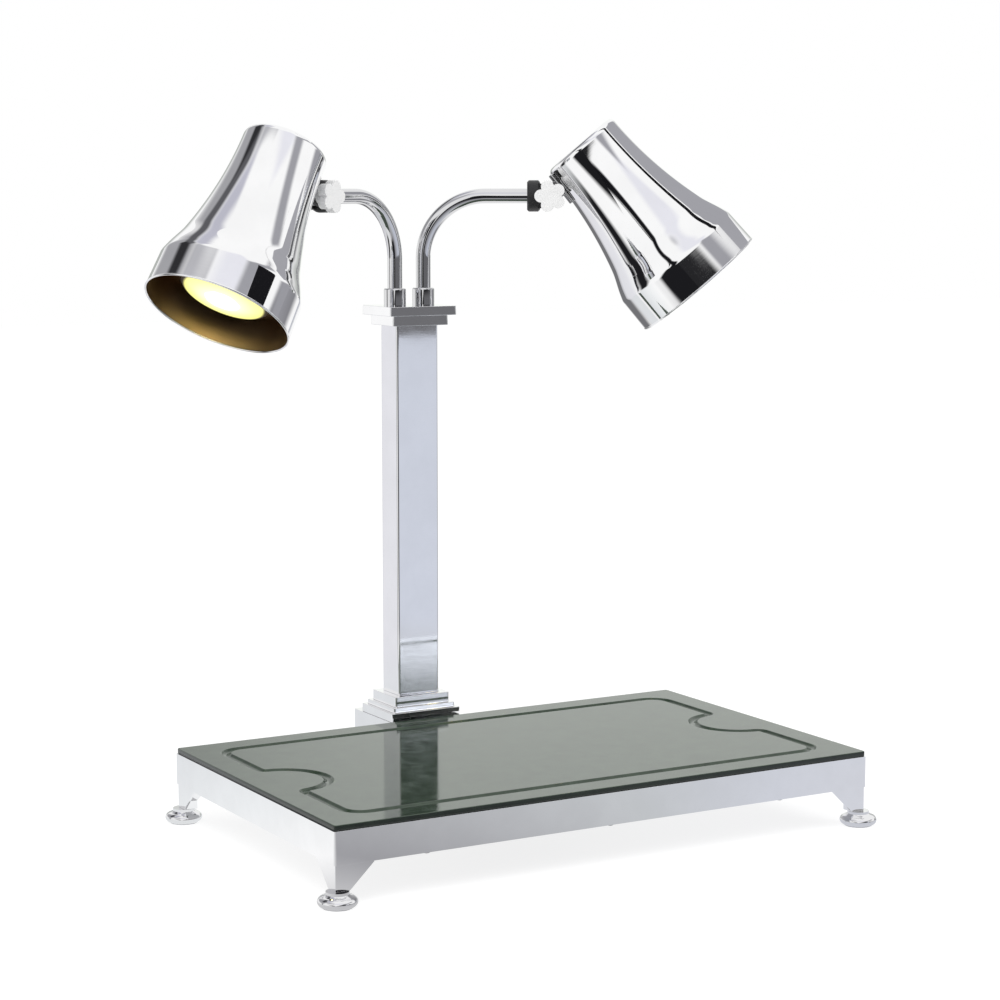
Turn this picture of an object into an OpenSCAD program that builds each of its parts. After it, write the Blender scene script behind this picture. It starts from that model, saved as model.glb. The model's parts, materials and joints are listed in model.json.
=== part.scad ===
// Heated carving station: a heated base with a grooved carving board, a post behind it,
// and two bell-shaped heat lamps on swivelling arms. Millimetres, +X right, +Y back, +Z up.
// The origin is on the table, under the middle of the whole object.

/* [Base frame] */
// Width of the base, left to right
base_w = 610; // [520:1:720]
// Depth of the base, front to back
base_d = 370; // [320:1:440]
// Height of the frame's side walls
frame_h = 32; // [29:0.5:40]
// Sheet thickness of the frame
frame_sheet = 1.5; // [1:0.1:2]
// Outer radius of the frame's upright corners
frame_corner = 2.5; // [2.2:0.1:4]
// Width of the top flange that carries the board
flange_w = 20; // [16:1:28]
// Width of the strips folded inwards along the frame's lower edge
return_w = 14; // [12:1:18]

/* [Carving board] */
// Height of the board above the frame
board_proud = 5.5; // [4:0.5:10]
// Depth of the board's locating step below the frame's top
step_depth = 6.5; // [4:0.5:8]
// Inset of the board's edge from the frame's face
board_inset = 1; // [0.5:0.5:3]
// Gap between the locating step and the flange
step_gap = 0.6; // [0.3:0.1:1.5]
// Distance from the board's edge to the middle of the juice groove
groove_inset = 33; // [26:1:42]
// Width of the juice groove
groove_w = 10; // [7:1:13]
// Depth of the juice groove
groove_depth = 3; // [2:0.5:4]
// Corner radius of the juice groove
groove_corner = 22; // [16:1:30]
// Radius of the groove's bow round each hand hold
bow_r = 46; // [34:1:58]

/* [Heated stack] */
// Thickness of the plate under the board
spreader_t = 3; // [2:0.5:4]
// Distance from the flange's inner edge to the plate's edge
spreader_margin = 12; // [8:1:20]
// Sheath diameter of the heating element
element_d = 6.5; // [5:0.5:8]
// Spacing of the element's rows
element_pitch = 44; // [36:1:46]
// Number of rows in the element
element_rows = 6; // [4:2:6]
// Distance from the plate's edge to the element's bends
element_margin = 20; // [12:1:40]
// Diameter of the thermostat
thermostat_d = 22; // [16:1:26]
// Height of the thermostat
thermostat_h = 13; // [10:0.5:16]
// Sheet thickness of the bottom cover
cover_t = 1.2; // [0.8:0.1:2]
// Inset of the bottom cover from the frame's face
cover_inset = 9; // [7:0.5:10]

/* [Legs and feet] */
// Height of the legs below the frame
leg_h = 25; // [18:1:50]
// Width of each leg face at the frame
leg_top_w = 40; // [30:1:55]
// Width of each leg face at the foot
leg_low_w = 15; // [12:1:24]
// Sheet thickness of the legs
leg_sheet = 2.5; // [1.5:0.5:3.5]
// Height of the leg's straight edge before it tapers
leg_lip = 1; // [0:1:10]
// Height of the leg's tab inside the frame
leg_tab = 20; // [10:1:24]
// Height of the solid toe that takes the foot's stud
toe_h = 9; // [9:1:14]
// Height of the feet
foot_h = 15; // [12:1:25]
// Largest diameter of the feet
foot_d = 38; // [30:1:46]
// Diameter of the foot's neck
foot_neck_d = 22; // [16:1:26]
// Diameter of the face that the foot stands on
foot_sole_d = 29; // [22:1:29]
// Distance from the frame's faces to the foot's centre
foot_inset = 5.5; // [5:0.5:9]

/* [Rear box] */
// Width of the box behind the base
rear_w = 88; // [86:1:120]
// Depth of the box behind the base
rear_d = 110; // [100:1:150]
// Sheet thickness of the box
box_sheet = 2; // [1.5:0.1:3]
// Radius of the box's upright corners
box_corner = 4; // [2:0.5:8]
// Distance from the box's side to the middle of the switch there
switch_edge = 19; // [17:0.5:20]
// Bore of the cord gland
gland_bore = 8; // [6:0.5:9]

/* [Post] */
// Width of the post
post_w = 51; // [46:1:60]
// Depth of the post
post_d = 38; // [30:1:44]
// Wall of the post
post_wall = 1.6; // [1:0.1:3]
// Radius of the post's upright edges
post_edge = 2.5; // [1:0.5:4]
// Height of the cap's top above the board
cap_rise = 448; // [360:1:560]
// Diameter of the tie rod inside the post
rod_d = 8; // [6:1:10]

/* [Plinth and cap] */
// Overhang of the plinth's three steps, bottom to top
plinth_over = [17.5, 13, 8.5]; // [8:0.5:22]
// Height of the plinth's three steps, bottom to top
plinth_step = [9.5, 5, 11]; // [4:0.5:16]
// Overhang of the cap's collar
collar_over = 8.5; // [5:0.5:14]
// Height of the cap's collar
collar_h = 11; // [8:1:16]
// Overhang of the cap's top plate
cap_over = 15.5; // [12:0.5:22]
// Height of the cap's top plate
cap_h = 10; // [9.5:0.5:16]

/* [Arms] */
// Spacing of the two arms on the cap
arm_gap = 35; // [30:0.5:38]
// Diameter of the arm tubes
tube_d = 16; // [14:0.5:18]
// Wall of the arm tubes
tube_wall = 1.5; // [1:0.1:2]
// Height of the arm's level run above the cap
arm_rise = 118.5; // [100:0.5:160]
// Radius of the arm's bend
bend_r = 68; // [50:1:75]
// Distance from the arm's upright to the tilt pivot
arm_reach = 138.5; // [125:0.5:190]
// Diameter of the ferrules on the cap
ferrule_d = 24; // [22:0.5:26]
// Height of the ferrules above the cap
ferrule_h = 19; // [12:1:26]
// Depth of the ferrule's spigot in the cap
spigot_depth = 8; // [6:0.5:8.5]
// Turn of the left arm towards the front
left_swing = 24; // [0:0.5:60]
// Turn of the right arm towards the front
right_swing = 30.5; // [0:0.5:60]

/* [Lamp heads] */
// Outward tilt of the left lamp
left_tilt = 33; // [0:0.1:60]
// Outward tilt of the right lamp
right_tilt = 40.8; // [0:0.1:60]
// Diameter of the hub
hub_d = 34; // [28:1:36]
// Length of the hub's round body
hub_len = 14; // [12:1:18]
// Distance from the hub's round body to the tilt pivot
hub_to_pivot = 11; // [10.5:0.5:15]
// Depth of the tube in the hub
tube_seat = 10; // [8:0.5:11]
// Thickness of each fork ear
ear_t = 6; // [4:0.5:7]
// Radius of the fork ears round the pivot
ear_r = 9.5; // [7:0.5:10]
// Thickness of the bracket's tongue
tongue_t = 10; // [6:0.5:12]
// Diameter of the pivot screw
pivot_d = 8; // [6:0.5:9]
// Diameter across the knob's lobes
knob_d = 34.5; // [26:0.5:35]
// Thickness of the knob's lobed grip
knob_t = 10; // [8:0.5:14]
// Length of the knob's boss
knob_boss = 10; // [8:0.5:12]
// Radius of the knob's boss
boss_r = 8; // [6:0.5:9.5]

/* [Shades and bulbs] */
// Radius of the shade's top
shade_top_r = 45; // [42:0.5:46]
// Radius at the lower end of the shade's bell
shade_bell_r = 62.5; // [60:0.5:68]
// Radius of the shade's rim band
shade_rim_r = 76.3; // [74:0.1:82]
// Length of the bell
bell_len = 128; // [120:1:140]
// Length of the shoulder between the bell and the rim band
shoulder_len = 26; // [18:1:32]
// Length of the rim band
band_len = 46; // [38:1:60]
// Wall of the shade
shade_wall = 1.2; // [0.8:0.1:2]
// Distance from the tilt pivot to the shade's axis
pivot_off = 60.5; // [60:0.5:66]
// Height of the shade's top above the tilt pivot
pivot_drop = 21.5; // [19:0.5:30]
// Diameter of the bulb's face
bulb_d = 95; // [80:1:110]
// Distance from the shade's top to the bulb's widest place
bulb_seat = 168; // [156:1:170]
// Outer diameter of the socket
socket_d = 44; // [36:1:50]
// Length of the socket
socket_len = 66; // [60:1:72]

/* [Clearances] */
// Radial gap of a turning fit
turn_gap = 0.05; // [0.02:0.01:0.1]
// Gap round a piece that is slipped into another
slip_gap = 0.1; // [0.05:0.05:0.3]
// Gap on each side of the bracket's tongue
tongue_gap = 0.1; // [0.05:0.05:0.2]
// Gap between the element and what it lies between
element_gap = 0.15; // [0.1:0.05:0.3]

/* [Hidden] */
$fn = 64;
left = -1;
right = 1;
front = -1;
back = 1;
cut = 1;

// Levels, from the table up
frame_z = foot_h + leg_h;
frame_top = frame_z + frame_h;
board_top = frame_top + board_proud;
board_low = frame_top - step_depth;
cap_top = board_top + cap_rise;
post_top = cap_top - cap_h;
spigot_low = cap_top - spigot_depth;

// Places along Y: the object is centred between the front feet and the cord gland's nose
foot_out = foot_d / 2 - foot_inset;
gland_flange_t = 4;
gland_nose = 8;
base_y = -(rear_d + gland_flange_t + gland_nose - foot_out) / 2;
base_back = base_y + base_d / 2;
post_y = base_back + rear_d / 2;
rear_face = base_back + rear_d;

// Heated stack
opening_w = base_w - 2 * flange_w;
opening_d = base_d - 2 * flange_w;
spreader_w = opening_w - 2 * spreader_margin;
spreader_d = opening_d - 2 * spreader_margin;
spreader_low = board_low - spreader_t;
element_z = spreader_low - element_gap - element_d / 2;
pad_top = element_z - element_d / 2 - element_gap;
pad_hole_gap = 2;
leg_room = 2;
strip_w = base_w - 2 * (frame_sheet + leg_top_w + leg_room);
strip_d = base_d - 2 * (frame_sheet + leg_top_w + leg_room);

// Feet
foot_round = 3;
foot_belly = 0.37 * foot_h;
foot_collar = 3;
stud_half = 7;
stud_room = 0.5;

// Screws
screw_d = 4;
screw_head_d = 7.5;
screw_head_h = 2.6;
screw_head_taper = 1.5;
screw_len = 8;

// Rear box fittings, measured from its rear face
fitting_z = frame_z + frame_h / 2;
bezel_w = 15;
bezel_h = 23;
bezel_t = 2;
switch_wall = 1.1;
switch_deep = 18;
rocker_w = 10.2;
rocker_room = 0.3;
window_w = rocker_w + 2 * rocker_room;
window_h = 18.6;
rocker_pivot_in = 2;
rocker_tip = 10;
rocker_deep = 5;
rocker_root = 3;
rocker_half = 8.2;
rocker_edge = 8;
rocker_dish = 3.4;
rocker_pin_d = 2.4;
window_deep = 9;
blade = [6.3, 7, 0.8];
gland_neck_d = 15;
gland_flange = 22;
gland_nose_d = 16;
gland_taper = 2;
gland_tail = 14;
nut_t = 5;
block = [52, 18, 12];
lead_d = 5;
lead_hole = 8;
boss_d = 9;
boss_in = 8;

// Post and arms
rod_tail = 10;
rod_cover = 3;
rod_low = frame_top - box_sheet - rod_tail;
rod_high = cap_top - rod_cover;
rod_nut_t = 6.5;
rod_nut_wall = 3.5;
spigot_d = 20;
ferrule_floor = 2;
tube_foot = ferrule_floor - spigot_depth;
hub_start = arm_reach - hub_to_pivot - hub_len;
tube_end = hub_start + tube_seat;
edge_cut = 2;

// Heads, measured from the tilt pivot
tongue_r = ear_r;
ear_in = tongue_t / 2 + tongue_gap;
ear_out = ear_in + ear_t;
pivot_head_d = 14;
pivot_head_t = 5;
pivot_head_taper = 2;
knob_floor = 2;
pad_t = 3;
pad_up = 17;
pad_down = 21;
pad_angle = 36;
ear_root = 14;
lobe_count = 5;
lobe_d = 14;
shade_edge = 4;
bell_power = 2;
bell_steps = 12;
shoulder_steps = 6;
band_flare = 1.3;
shoulder_r = shade_rim_r - band_flare;
shade_len = bell_len + shoulder_len + band_len;
bulb_base_r = 13.2;
bulb_base_end = 42;
bulb_edge = 8;
bulb_dome = 9;
bulb_glass = 2.4;
bulb_tip_r = 3;
bulb_power = 0.75;
bulb_steps = 8;
socket_edge = 4;
bulb_neck = shade_wall + socket_len + 1;

module rounded(w, d, h, r) {
    linear_extrude(h) {
        square([w - 2 * r, d], center = true);
        square([w, d - 2 * r], center = true);
        for (x = [-1, 1], y = [-1, 1])
            translate([x * (w / 2 - r), y * (d / 2 - r)]) circle(r);
    }
}

module box(w, d, h) {
    translate([-w / 2, -d / 2, 0]) cube([w, d, h]);
}

module on_base(z) {
    translate([0, base_y, z]) children();
}

module at_post(z) {
    translate([0, post_y, z]) children();
}

// A corner of the frame: the children's X and Y point inwards along the two sides
module corner(side, end) {
    translate([side * base_w / 2, base_y + end * base_d / 2, 0])
        mirror([side > 0 ? 1 : 0, 0, 0])
        mirror([0, end > 0 ? 1 : 0, 0])
        children();
}

module screw(length) {
    translate([0, 0, -screw_head_h])
        cylinder(d1 = screw_head_d - screw_head_taper, d2 = screw_head_d, h = screw_head_h);
    cylinder(d = screw_d, h = length);
}

// Screws of the bottom cover, spread along the frame's return strips
module cover_screw_places() {
    strip = cover_inset + (return_w - cover_inset) / 2 + frame_sheet / 2;
    for (end = [front, back], x = [-1, 0, 1])
        translate([x * base_w / 3, base_y + end * (base_d / 2 - strip), frame_z - cover_t]) children();
    for (side = [left, right])
        translate([side * (base_w / 2 - strip), base_y, frame_z - cover_t]) children();
}

module base_frame() {
    color("silver") difference() {
        union() {
            difference() {
                on_base(frame_z) rounded(base_w, base_d, frame_h, frame_corner);
                on_base(frame_z - cut)
                    box(base_w - 2 * frame_sheet, base_d - 2 * frame_sheet,
                        frame_h - frame_sheet + cut);
                on_base(frame_top - frame_sheet - cut) box(opening_w, opening_d, frame_sheet + 2 * cut);
            }
            return_strips();
        }
        cover_screw_places() cylinder(d = screw_d + 2 * slip_gap, h = cover_t + frame_sheet + cut);
        translate([0, base_back - frame_sheet - cut, fitting_z])
            rotate([-90, 0, 0]) cylinder(d = lead_hole, h = frame_sheet + 2 * cut);
    }
}

// The strips stop short of the legs' tabs
module return_strips() {
    for (end = [front, back])
        translate([-strip_w / 2, base_y + end * (base_d / 2 - return_w / 2) - return_w / 2, frame_z])
            cube([strip_w, return_w, frame_sheet]);
    for (side = [left, right])
        translate([side * (base_w / 2 - return_w / 2) - return_w / 2, base_y - strip_d / 2, frame_z])
            cube([return_w, strip_d, frame_sheet]);
}

// Round-bottomed cutter that follows the juice groove
module groove() {
    tool_r = (pow(groove_w / 2, 2) + pow(groove_depth, 2)) / (2 * groove_depth);
    gx = base_w / 2 - board_inset - groove_inset;
    gy = base_d / 2 - board_inset - groove_inset;
    run_x = gx - groove_corner;
    run_y = gy - groove_corner;
    on_base(board_top + tool_r - groove_depth) {
        for (y = [-gy, gy])
            translate([-run_x, y, 0]) rotate([0, 90, 0]) cylinder(r = tool_r, h = 2 * run_x);
        for (x = [-1, 1], y = [-1, 1]) {
            translate([x * gx, y > 0 ? bow_r - groove_w / 2 : -run_y, 0]) rotate([-90, 0, 0])
                cylinder(r = tool_r, h = run_y - bow_r + groove_w / 2);
            translate([x * run_x, y * run_y, 0])
                rotate([0, 0, x > 0 ? (y > 0 ? 0 : -90) : (y > 0 ? 90 : 180)])
                rotate_extrude(angle = 90) translate([groove_corner, 0]) circle(tool_r);
        }
        for (x = [-1, 1])
            translate([x * gx, 0, 0]) rotate([0, 0, x > 0 ? 90 : -90])
                rotate_extrude(angle = 180) translate([bow_r, 0]) circle(tool_r);
    }
}

module carving_board() {
    color("darkslategray") difference() {
        union() {
            on_base(frame_top)
                rounded(base_w - 2 * board_inset, base_d - 2 * board_inset, board_proud, frame_corner);
            on_base(board_low)
                box(opening_w - 2 * step_gap, opening_d - 2 * step_gap, step_depth);
        }
        groove();
    }
}

module heat_spreader() {
    color("lightgray") on_base(spreader_low) box(spreader_w, spreader_d, spreader_t);
}

// One sheathed rod: rows along X joined by half-round bends at alternate ends
module heating_element() {
    run = spreader_w - 2 * element_margin - element_pitch;
    first = -(element_rows - 1) / 2 * element_pitch;
    color("dimgray") on_base(element_z) {
        for (i = [0 : element_rows - 1])
            translate([-run / 2, first + i * element_pitch, 0]) rotate([0, 90, 0])
                cylinder(d = element_d, h = run);
        for (i = [0 : element_rows - 2])
            translate([(i % 2 == 0 ? 1 : -1) * run / 2, first + (i + 0.5) * element_pitch, 0])
                rotate([0, 0, i % 2 == 0 ? -90 : 90])
                rotate_extrude(angle = 180) translate([element_pitch / 2, 0]) circle(d = element_d);
    }
}

module thermostat() {
    color("ivory") on_base(spreader_low - thermostat_h) {
        cylinder(d = thermostat_d, h = thermostat_h);
        for (x = [-1, 1])
            translate([x * thermostat_d / 4 - blade[2] / 2, -blade[0] / 2, -blade[1]])
                cube([blade[2], blade[0], blade[1] + cut]);
    }
}

module insulation_pad() {
    color("wheat") difference() {
        on_base(frame_z) box(strip_w, spreader_d, pad_top - frame_z);
        on_base(frame_z - cut)
            cylinder(d = thermostat_d + 2 * pad_hole_gap, h = pad_top - frame_z + 2 * cut);
    }
}

module bottom_cover() {
    color("silver") difference() {
        on_base(frame_z - cover_t)
            box(base_w - 2 * cover_inset, base_d - 2 * cover_inset, cover_t);
        cover_screw_places()
            translate([0, 0, -cut]) cylinder(d = screw_d + 2 * slip_gap, h = cover_t + 2 * cut);
    }
}

module cover_screws() {
    color("gray") cover_screw_places() screw(screw_len);
}

// An angle of two tapered faces, with a solid toe at the bottom that takes the foot's stud
module leg(side, end) {
    color("silver") difference() {
        corner(side, end) {
            leg_face();
            mirror([1, -1, 0]) leg_face();
            translate([frame_sheet, frame_sheet, foot_h]) cube([leg_low_w, leg_low_w, toe_h]);
        }
        corner(side, end) translate([foot_inset, foot_inset, foot_h - cut])
            cylinder(d = screw_d + 2 * slip_gap, h = stud_half + stud_room + cut);
    }
}

module leg_face() {
    translate([0, frame_sheet + leg_sheet, 0]) rotate([90, 0, 0]) linear_extrude(leg_sheet)
        polygon([
            [frame_sheet, foot_h],
            [frame_sheet + leg_low_w, foot_h],
            [frame_sheet + leg_top_w, frame_z - leg_lip],
            [frame_sheet + leg_top_w, frame_z + leg_tab],
            [frame_sheet, frame_z + leg_tab]
        ]);
}

// A turned bun foot with a blind hole for its stud
module foot(side, end) {
    bulge = foot_d / 2 - foot_sole_d / 2 + foot_round;
    profile = concat(
        [[0, 0], [foot_sole_d / 2, 0]],
        [for (a = [-66 : 12 : 54])
            [foot_d / 2 - bulge + bulge * cos(a), foot_belly + foot_belly * sin(a)]],
        [[foot_neck_d / 2, foot_h - foot_collar], [foot_neck_d / 2, foot_h], [0, foot_h]]
    );
    color("gainsboro") corner(side, end) translate([foot_inset, foot_inset, 0]) difference() {
        rotate_extrude() polygon(profile);
        translate([0, 0, foot_h - stud_half - stud_room])
            cylinder(d = screw_d + 2 * slip_gap, h = stud_half + stud_room + cut);
    }
}

module foot_screws() {
    color("gray")
        for (side = [left, right], end = [front, back])
            corner(side, end) translate([foot_inset, foot_inset, foot_h - stud_half])
                cylinder(d = screw_d, h = 2 * stud_half);
}

module rear_box_bosses() {
    for (x = [-1, 1], y = [-1, 1])
        translate([x * (rear_w / 2 - boss_in), y * (rear_d / 2 - boss_in), 0]) children();
}

module rear_box() {
    color("silver") difference() {
        at_post(frame_z) union() {
            difference() {
                rounded(rear_w, rear_d, frame_h, box_corner);
                translate([0, 0, -cut])
                    box(rear_w - 2 * box_sheet, rear_d - 2 * box_sheet, frame_h - box_sheet + cut);
            }
            rear_box_bosses() cylinder(d = boss_d, h = frame_h - box_sheet / 2);
        }
        at_post(frame_z - cut) rear_box_bosses()
            cylinder(d = screw_d + 2 * slip_gap, h = screw_len + cut);
        at_post(frame_top - box_sheet - cut) {
            cylinder(d = rod_d + 2 * slip_gap, h = box_sheet + 2 * cut);
            for (side = [left, right])
                translate([side * arm_gap / 2, 0, 0]) cylinder(d = lead_hole, h = box_sheet + 2 * cut);
        }
        translate([0, base_back - cut, fitting_z])
            rotate([-90, 0, 0]) cylinder(d = lead_hole, h = box_sheet + 2 * cut);
        on_rear(0) gland_turned(-box_sheet - cut)
            cylinder(d = gland_neck_d + 2 * slip_gap, h = box_sheet + 2 * cut);
        for (side = [left, right])
            on_rear(side) translate([0, -box_sheet - cut, 0])
                upright(window_w + 2 * (switch_wall + slip_gap), window_h + 2 * (switch_wall + slip_gap),
                        box_sheet + 2 * cut);
    }
}

// A place on the rear face: side is 0 for the gland, or the switch's side
module on_rear(side) {
    translate([side * (rear_w / 2 - switch_edge), rear_face, fitting_z]) children();
}

// A block with its width along X and its height along Z, centred on both, from Y = 0 backwards
module upright(w, h, deep) {
    translate([-w / 2, 0, -h / 2]) cube([w, deep, h]);
}

module gland_turned(y) {
    translate([0, y, 0]) rotate([-90, 0, 0]) children();
}

module rear_box_cover() {
    color("silver") difference() {
        at_post(frame_z - cover_t)
            rounded(rear_w - 2 * slip_gap, rear_d - 2 * slip_gap, cover_t, box_corner);
        at_post(frame_z - cover_t - cut) rear_box_bosses()
            cylinder(d = screw_d + 2 * slip_gap, h = cover_t + 2 * cut);
    }
}

module rear_box_screws() {
    color("gray") at_post(frame_z - cover_t) rear_box_bosses() screw(screw_len);
}

module terminal_block() {
    color("ivory") difference() {
        at_post(frame_z) box(block[0], block[1], block[2]);
        at_post(frame_z + block[2] / 2)
            for (x = [-1, 0, 1], y = [-1, 1])
                translate([x * block[0] / 8, y * block[1] / 4, 0]) cylinder(d = screw_d, h = block[2]);
    }
}

module cord_gland() {
    color("dimgray") on_rear(0) difference() {
        union() {
            gland_turned(-gland_tail) cylinder(d = gland_neck_d, h = gland_tail + cut);
            gland_turned(0) cylinder(d = gland_flange, h = gland_flange_t, $fn = 6);
            gland_turned(gland_flange_t - cut)
                cylinder(d1 = gland_nose_d + gland_taper, d2 = gland_nose_d, h = gland_nose + cut);
        }
        gland_turned(-gland_tail - cut)
            cylinder(d = gland_bore, h = gland_tail + gland_flange_t + gland_nose + 2 * cut);
    }
}

module gland_nut() {
    color("dimgray") on_rear(0) gland_turned(-box_sheet - nut_t) difference() {
        cylinder(d = gland_flange, h = nut_t, $fn = 6);
        translate([0, 0, -cut]) cylinder(d = gland_neck_d + 2 * slip_gap, h = nut_t + 2 * cut);
    }
}

// A switch housing: bezel outside the box, body inside it, and a window for the rocker
module switch_housing(side) {
    color("black") on_rear(side) difference() {
        union() {
            upright(bezel_w, bezel_h, bezel_t);
            translate([0, -switch_deep, 0])
                upright(window_w + 2 * switch_wall, window_h + 2 * switch_wall, switch_deep + cut);
            for (z = [-1, 1])
                translate([0, -switch_deep - blade[1], z * window_h / 4])
                    upright(blade[0], blade[2], blade[1] + cut);
        }
        translate([0, -window_deep, 0]) upright(window_w, window_h, window_deep + bezel_t + cut);
        translate([-bezel_w / 2, -rocker_pivot_in, 0])
            rotate([0, 90, 0]) cylinder(d = rocker_pin_d + 2 * turn_gap, h = bezel_w);
    }
}

// A two-sided rocker on its pin, shown with its upper end pressed in
module rocker(side) {
    color("dimgray") on_rear(side) translate([0, -rocker_pivot_in, 0]) rotate([rocker_tip, 0, 0]) {
        translate([-rocker_w / 2, 0, 0]) rotate([90, 0, 90]) linear_extrude(rocker_w)
            polygon([
                [-rocker_deep, -rocker_root], [-rocker_deep, rocker_root], [0, rocker_half],
                [rocker_deep, rocker_edge], [rocker_dish, 0], [rocker_deep, -rocker_edge], [0, -rocker_half]
            ]);
        translate([-window_w / 2 - switch_wall, 0, 0]) rotate([0, 90, 0])
            cylinder(d = rocker_pin_d, h = window_w + 2 * switch_wall);
    }
}

function post_level(i) = i == 0 ? frame_top : post_level(i - 1) + plinth_step[i - 1];

module post_plinth() {
    color("silver") difference() {
        for (i = [0 : len(plinth_step) - 1])
            at_post(post_level(i))
                rounded(post_w + 2 * plinth_over[i], post_d + 2 * plinth_over[i], plinth_step[i],
                        post_edge);
        at_post(frame_top - cut) post_outline(post_level(len(plinth_step)) - frame_top + 2 * cut, slip_gap);
    }
}

module post_outline(h, gap) {
    rounded(post_w + 2 * gap, post_d + 2 * gap, h, post_edge);
}

module post_tube() {
    color("silver") at_post(frame_top) difference() {
        post_outline(post_top - frame_top, 0);
        translate([0, 0, -cut])
            box(post_w - 2 * post_wall, post_d - 2 * post_wall, post_top - frame_top + 2 * cut);
    }
}

module tie_rod() {
    color("gray") at_post(rod_low) cylinder(d = rod_d, h = rod_high - rod_low);
}

module tie_rod_nut() {
    color("gray") at_post(frame_top - box_sheet - rod_nut_t) difference() {
        cylinder(d = rod_d + 2 * rod_nut_wall, h = rod_nut_t, $fn = 6);
        translate([0, 0, -cut]) cylinder(d = rod_d + 2 * slip_gap, h = rod_nut_t + 2 * cut);
    }
}

module post_cap() {
    color("silver") difference() {
        union() {
            at_post(post_top - collar_h)
                rounded(post_w + 2 * collar_over, post_d + 2 * collar_over, collar_h + cut, post_edge);
            at_post(post_top) rounded(post_w + 2 * cap_over, post_d + 2 * cap_over, cap_h, post_edge);
        }
        at_post(post_top - collar_h - cut) post_outline(collar_h + cut, slip_gap);
        at_post(post_top - cut) cylinder(d = rod_d + 2 * slip_gap, h = rod_high - post_top + cut);
        for (side = [left, right])
            at_post(0) translate([side * arm_gap / 2, 0, 0]) {
                translate([0, 0, spigot_low]) cylinder(d = spigot_d + 2 * slip_gap, h = spigot_depth + cut);
                translate([0, 0, post_top - cut]) cylinder(d = lead_hole, h = cap_h);
            }
    }
}

// Frames of one side's pieces: the foot of the arm, the tilt pivot on its hub, and the tilted head
function swing(side) = side < 0 ? left_swing : right_swing;
function tilt(side) = side < 0 ? left_tilt : right_tilt;

module at_arm(side) {
    at_post(cap_top) mirror([side < 0 ? 1 : 0, 0, 0])
        translate([arm_gap / 2, 0, 0]) rotate([0, 0, -swing(side)]) children();
}

module at_pivot(side) {
    at_arm(side) translate([arm_reach, 0, arm_rise]) children();
}

module at_head(side) {
    at_pivot(side) rotate([0, -tilt(side), 0]) children();
}

module arm_ferrule(side) {
    color("silver") at_arm(side) difference() {
        union() {
            translate([0, 0, -spigot_depth]) cylinder(d = spigot_d, h = spigot_depth + cut);
            cylinder(d = ferrule_d, h = ferrule_h - edge_cut);
            translate([0, 0, ferrule_h - edge_cut])
                cylinder(d1 = ferrule_d, d2 = ferrule_d - 2 * edge_cut, h = edge_cut);
        }
        translate([0, 0, tube_foot]) cylinder(d = tube_d + 2 * turn_gap, h = spigot_depth + ferrule_h + cut);
        translate([0, 0, -spigot_depth - cut]) cylinder(d = lead_hole, h = spigot_depth);
    }
}

// The arm's path with a round section: upright, bend and level run, up to the given reach
module arm_sweep(d, low, reach) {
    translate([0, 0, low]) cylinder(d = d, h = arm_rise - bend_r - low);
    translate([bend_r, 0, arm_rise - bend_r]) rotate([90, 0, 0]) rotate([0, 0, 90])
        rotate_extrude(angle = 90) translate([bend_r, 0]) circle(d = d);
    translate([bend_r, 0, arm_rise]) rotate([0, 90, 0]) cylinder(d = d, h = reach - bend_r);
}

module arm_tube(side) {
    color("lightgray") at_arm(side) difference() {
        arm_sweep(tube_d, tube_foot, tube_end);
        arm_sweep(tube_d - 2 * tube_wall, tube_foot - cut, tube_end + cut);
    }
}

module post_lead(side) {
    top = cap_top + tube_foot;
    color("white") at_post(frame_z + block[2]) translate([side * arm_gap / 2, 0, 0])
        cylinder(d = lead_d, h = top - frame_z - block[2]);
}

module arm_lead(side) {
    color("white") at_arm(side) arm_sweep(lead_d, tube_foot, tube_end);
}

// A round hub on the tube's end with a fork for the bracket's tongue
module arm_hub(side) {
    hub_in = -hub_to_pivot;
    color("dimgray") at_pivot(side) difference() {
        union() {
            translate([hub_in - hub_len, 0, 0]) rotate([0, 90, 0]) {
                cylinder(d1 = hub_d - 2 * edge_cut, d2 = hub_d, h = edge_cut);
                translate([0, 0, edge_cut]) cylinder(d = hub_d, h = hub_len - 2 * edge_cut);
                translate([0, 0, hub_len - edge_cut])
                    cylinder(d1 = hub_d, d2 = hub_d - 2 * edge_cut, h = edge_cut);
            }
            for (side_y = [-1, 1])
                translate([0, side_y * (ear_in + ear_t / 2), 0]) rotate([90, 0, 0])
                    translate([0, 0, -ear_t / 2]) linear_extrude(ear_t) {
                        circle(ear_r);
                        polygon([
                            [hub_in - cut, -ear_root], [0, -ear_r], [0, ear_r], [hub_in - cut, ear_root]
                        ]);
                    }
        }
        translate([hub_in - hub_len - cut, 0, 0]) rotate([0, 90, 0])
            cylinder(d = tube_d + 2 * turn_gap, h = tube_seat + cut);
        translate([0, ear_out + cut, 0]) rotate([90, 0, 0])
            cylinder(d = pivot_d + 2 * turn_gap, h = 2 * ear_out + 2 * cut);
    }
}

module pivot_screw(side) {
    color("silver") at_pivot(side) rotate([90, 0, 0]) {
        translate([0, 0, -ear_out])
            cylinder(d = pivot_d, h = 2 * ear_out + knob_boss + knob_t - knob_floor);
        translate([0, 0, -ear_out - pivot_head_t])
            cylinder(d1 = pivot_head_d - pivot_head_taper, d2 = pivot_head_d, h = pivot_head_t);
    }
}

// Five round lobes on a round body
module star() {
    circle(d = knob_d - lobe_d);
    for (i = [0 : lobe_count - 1])
        rotate(180 + i * 360 / lobe_count) translate([(knob_d - lobe_d) / 2, 0]) circle(d = lobe_d);
}

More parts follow.
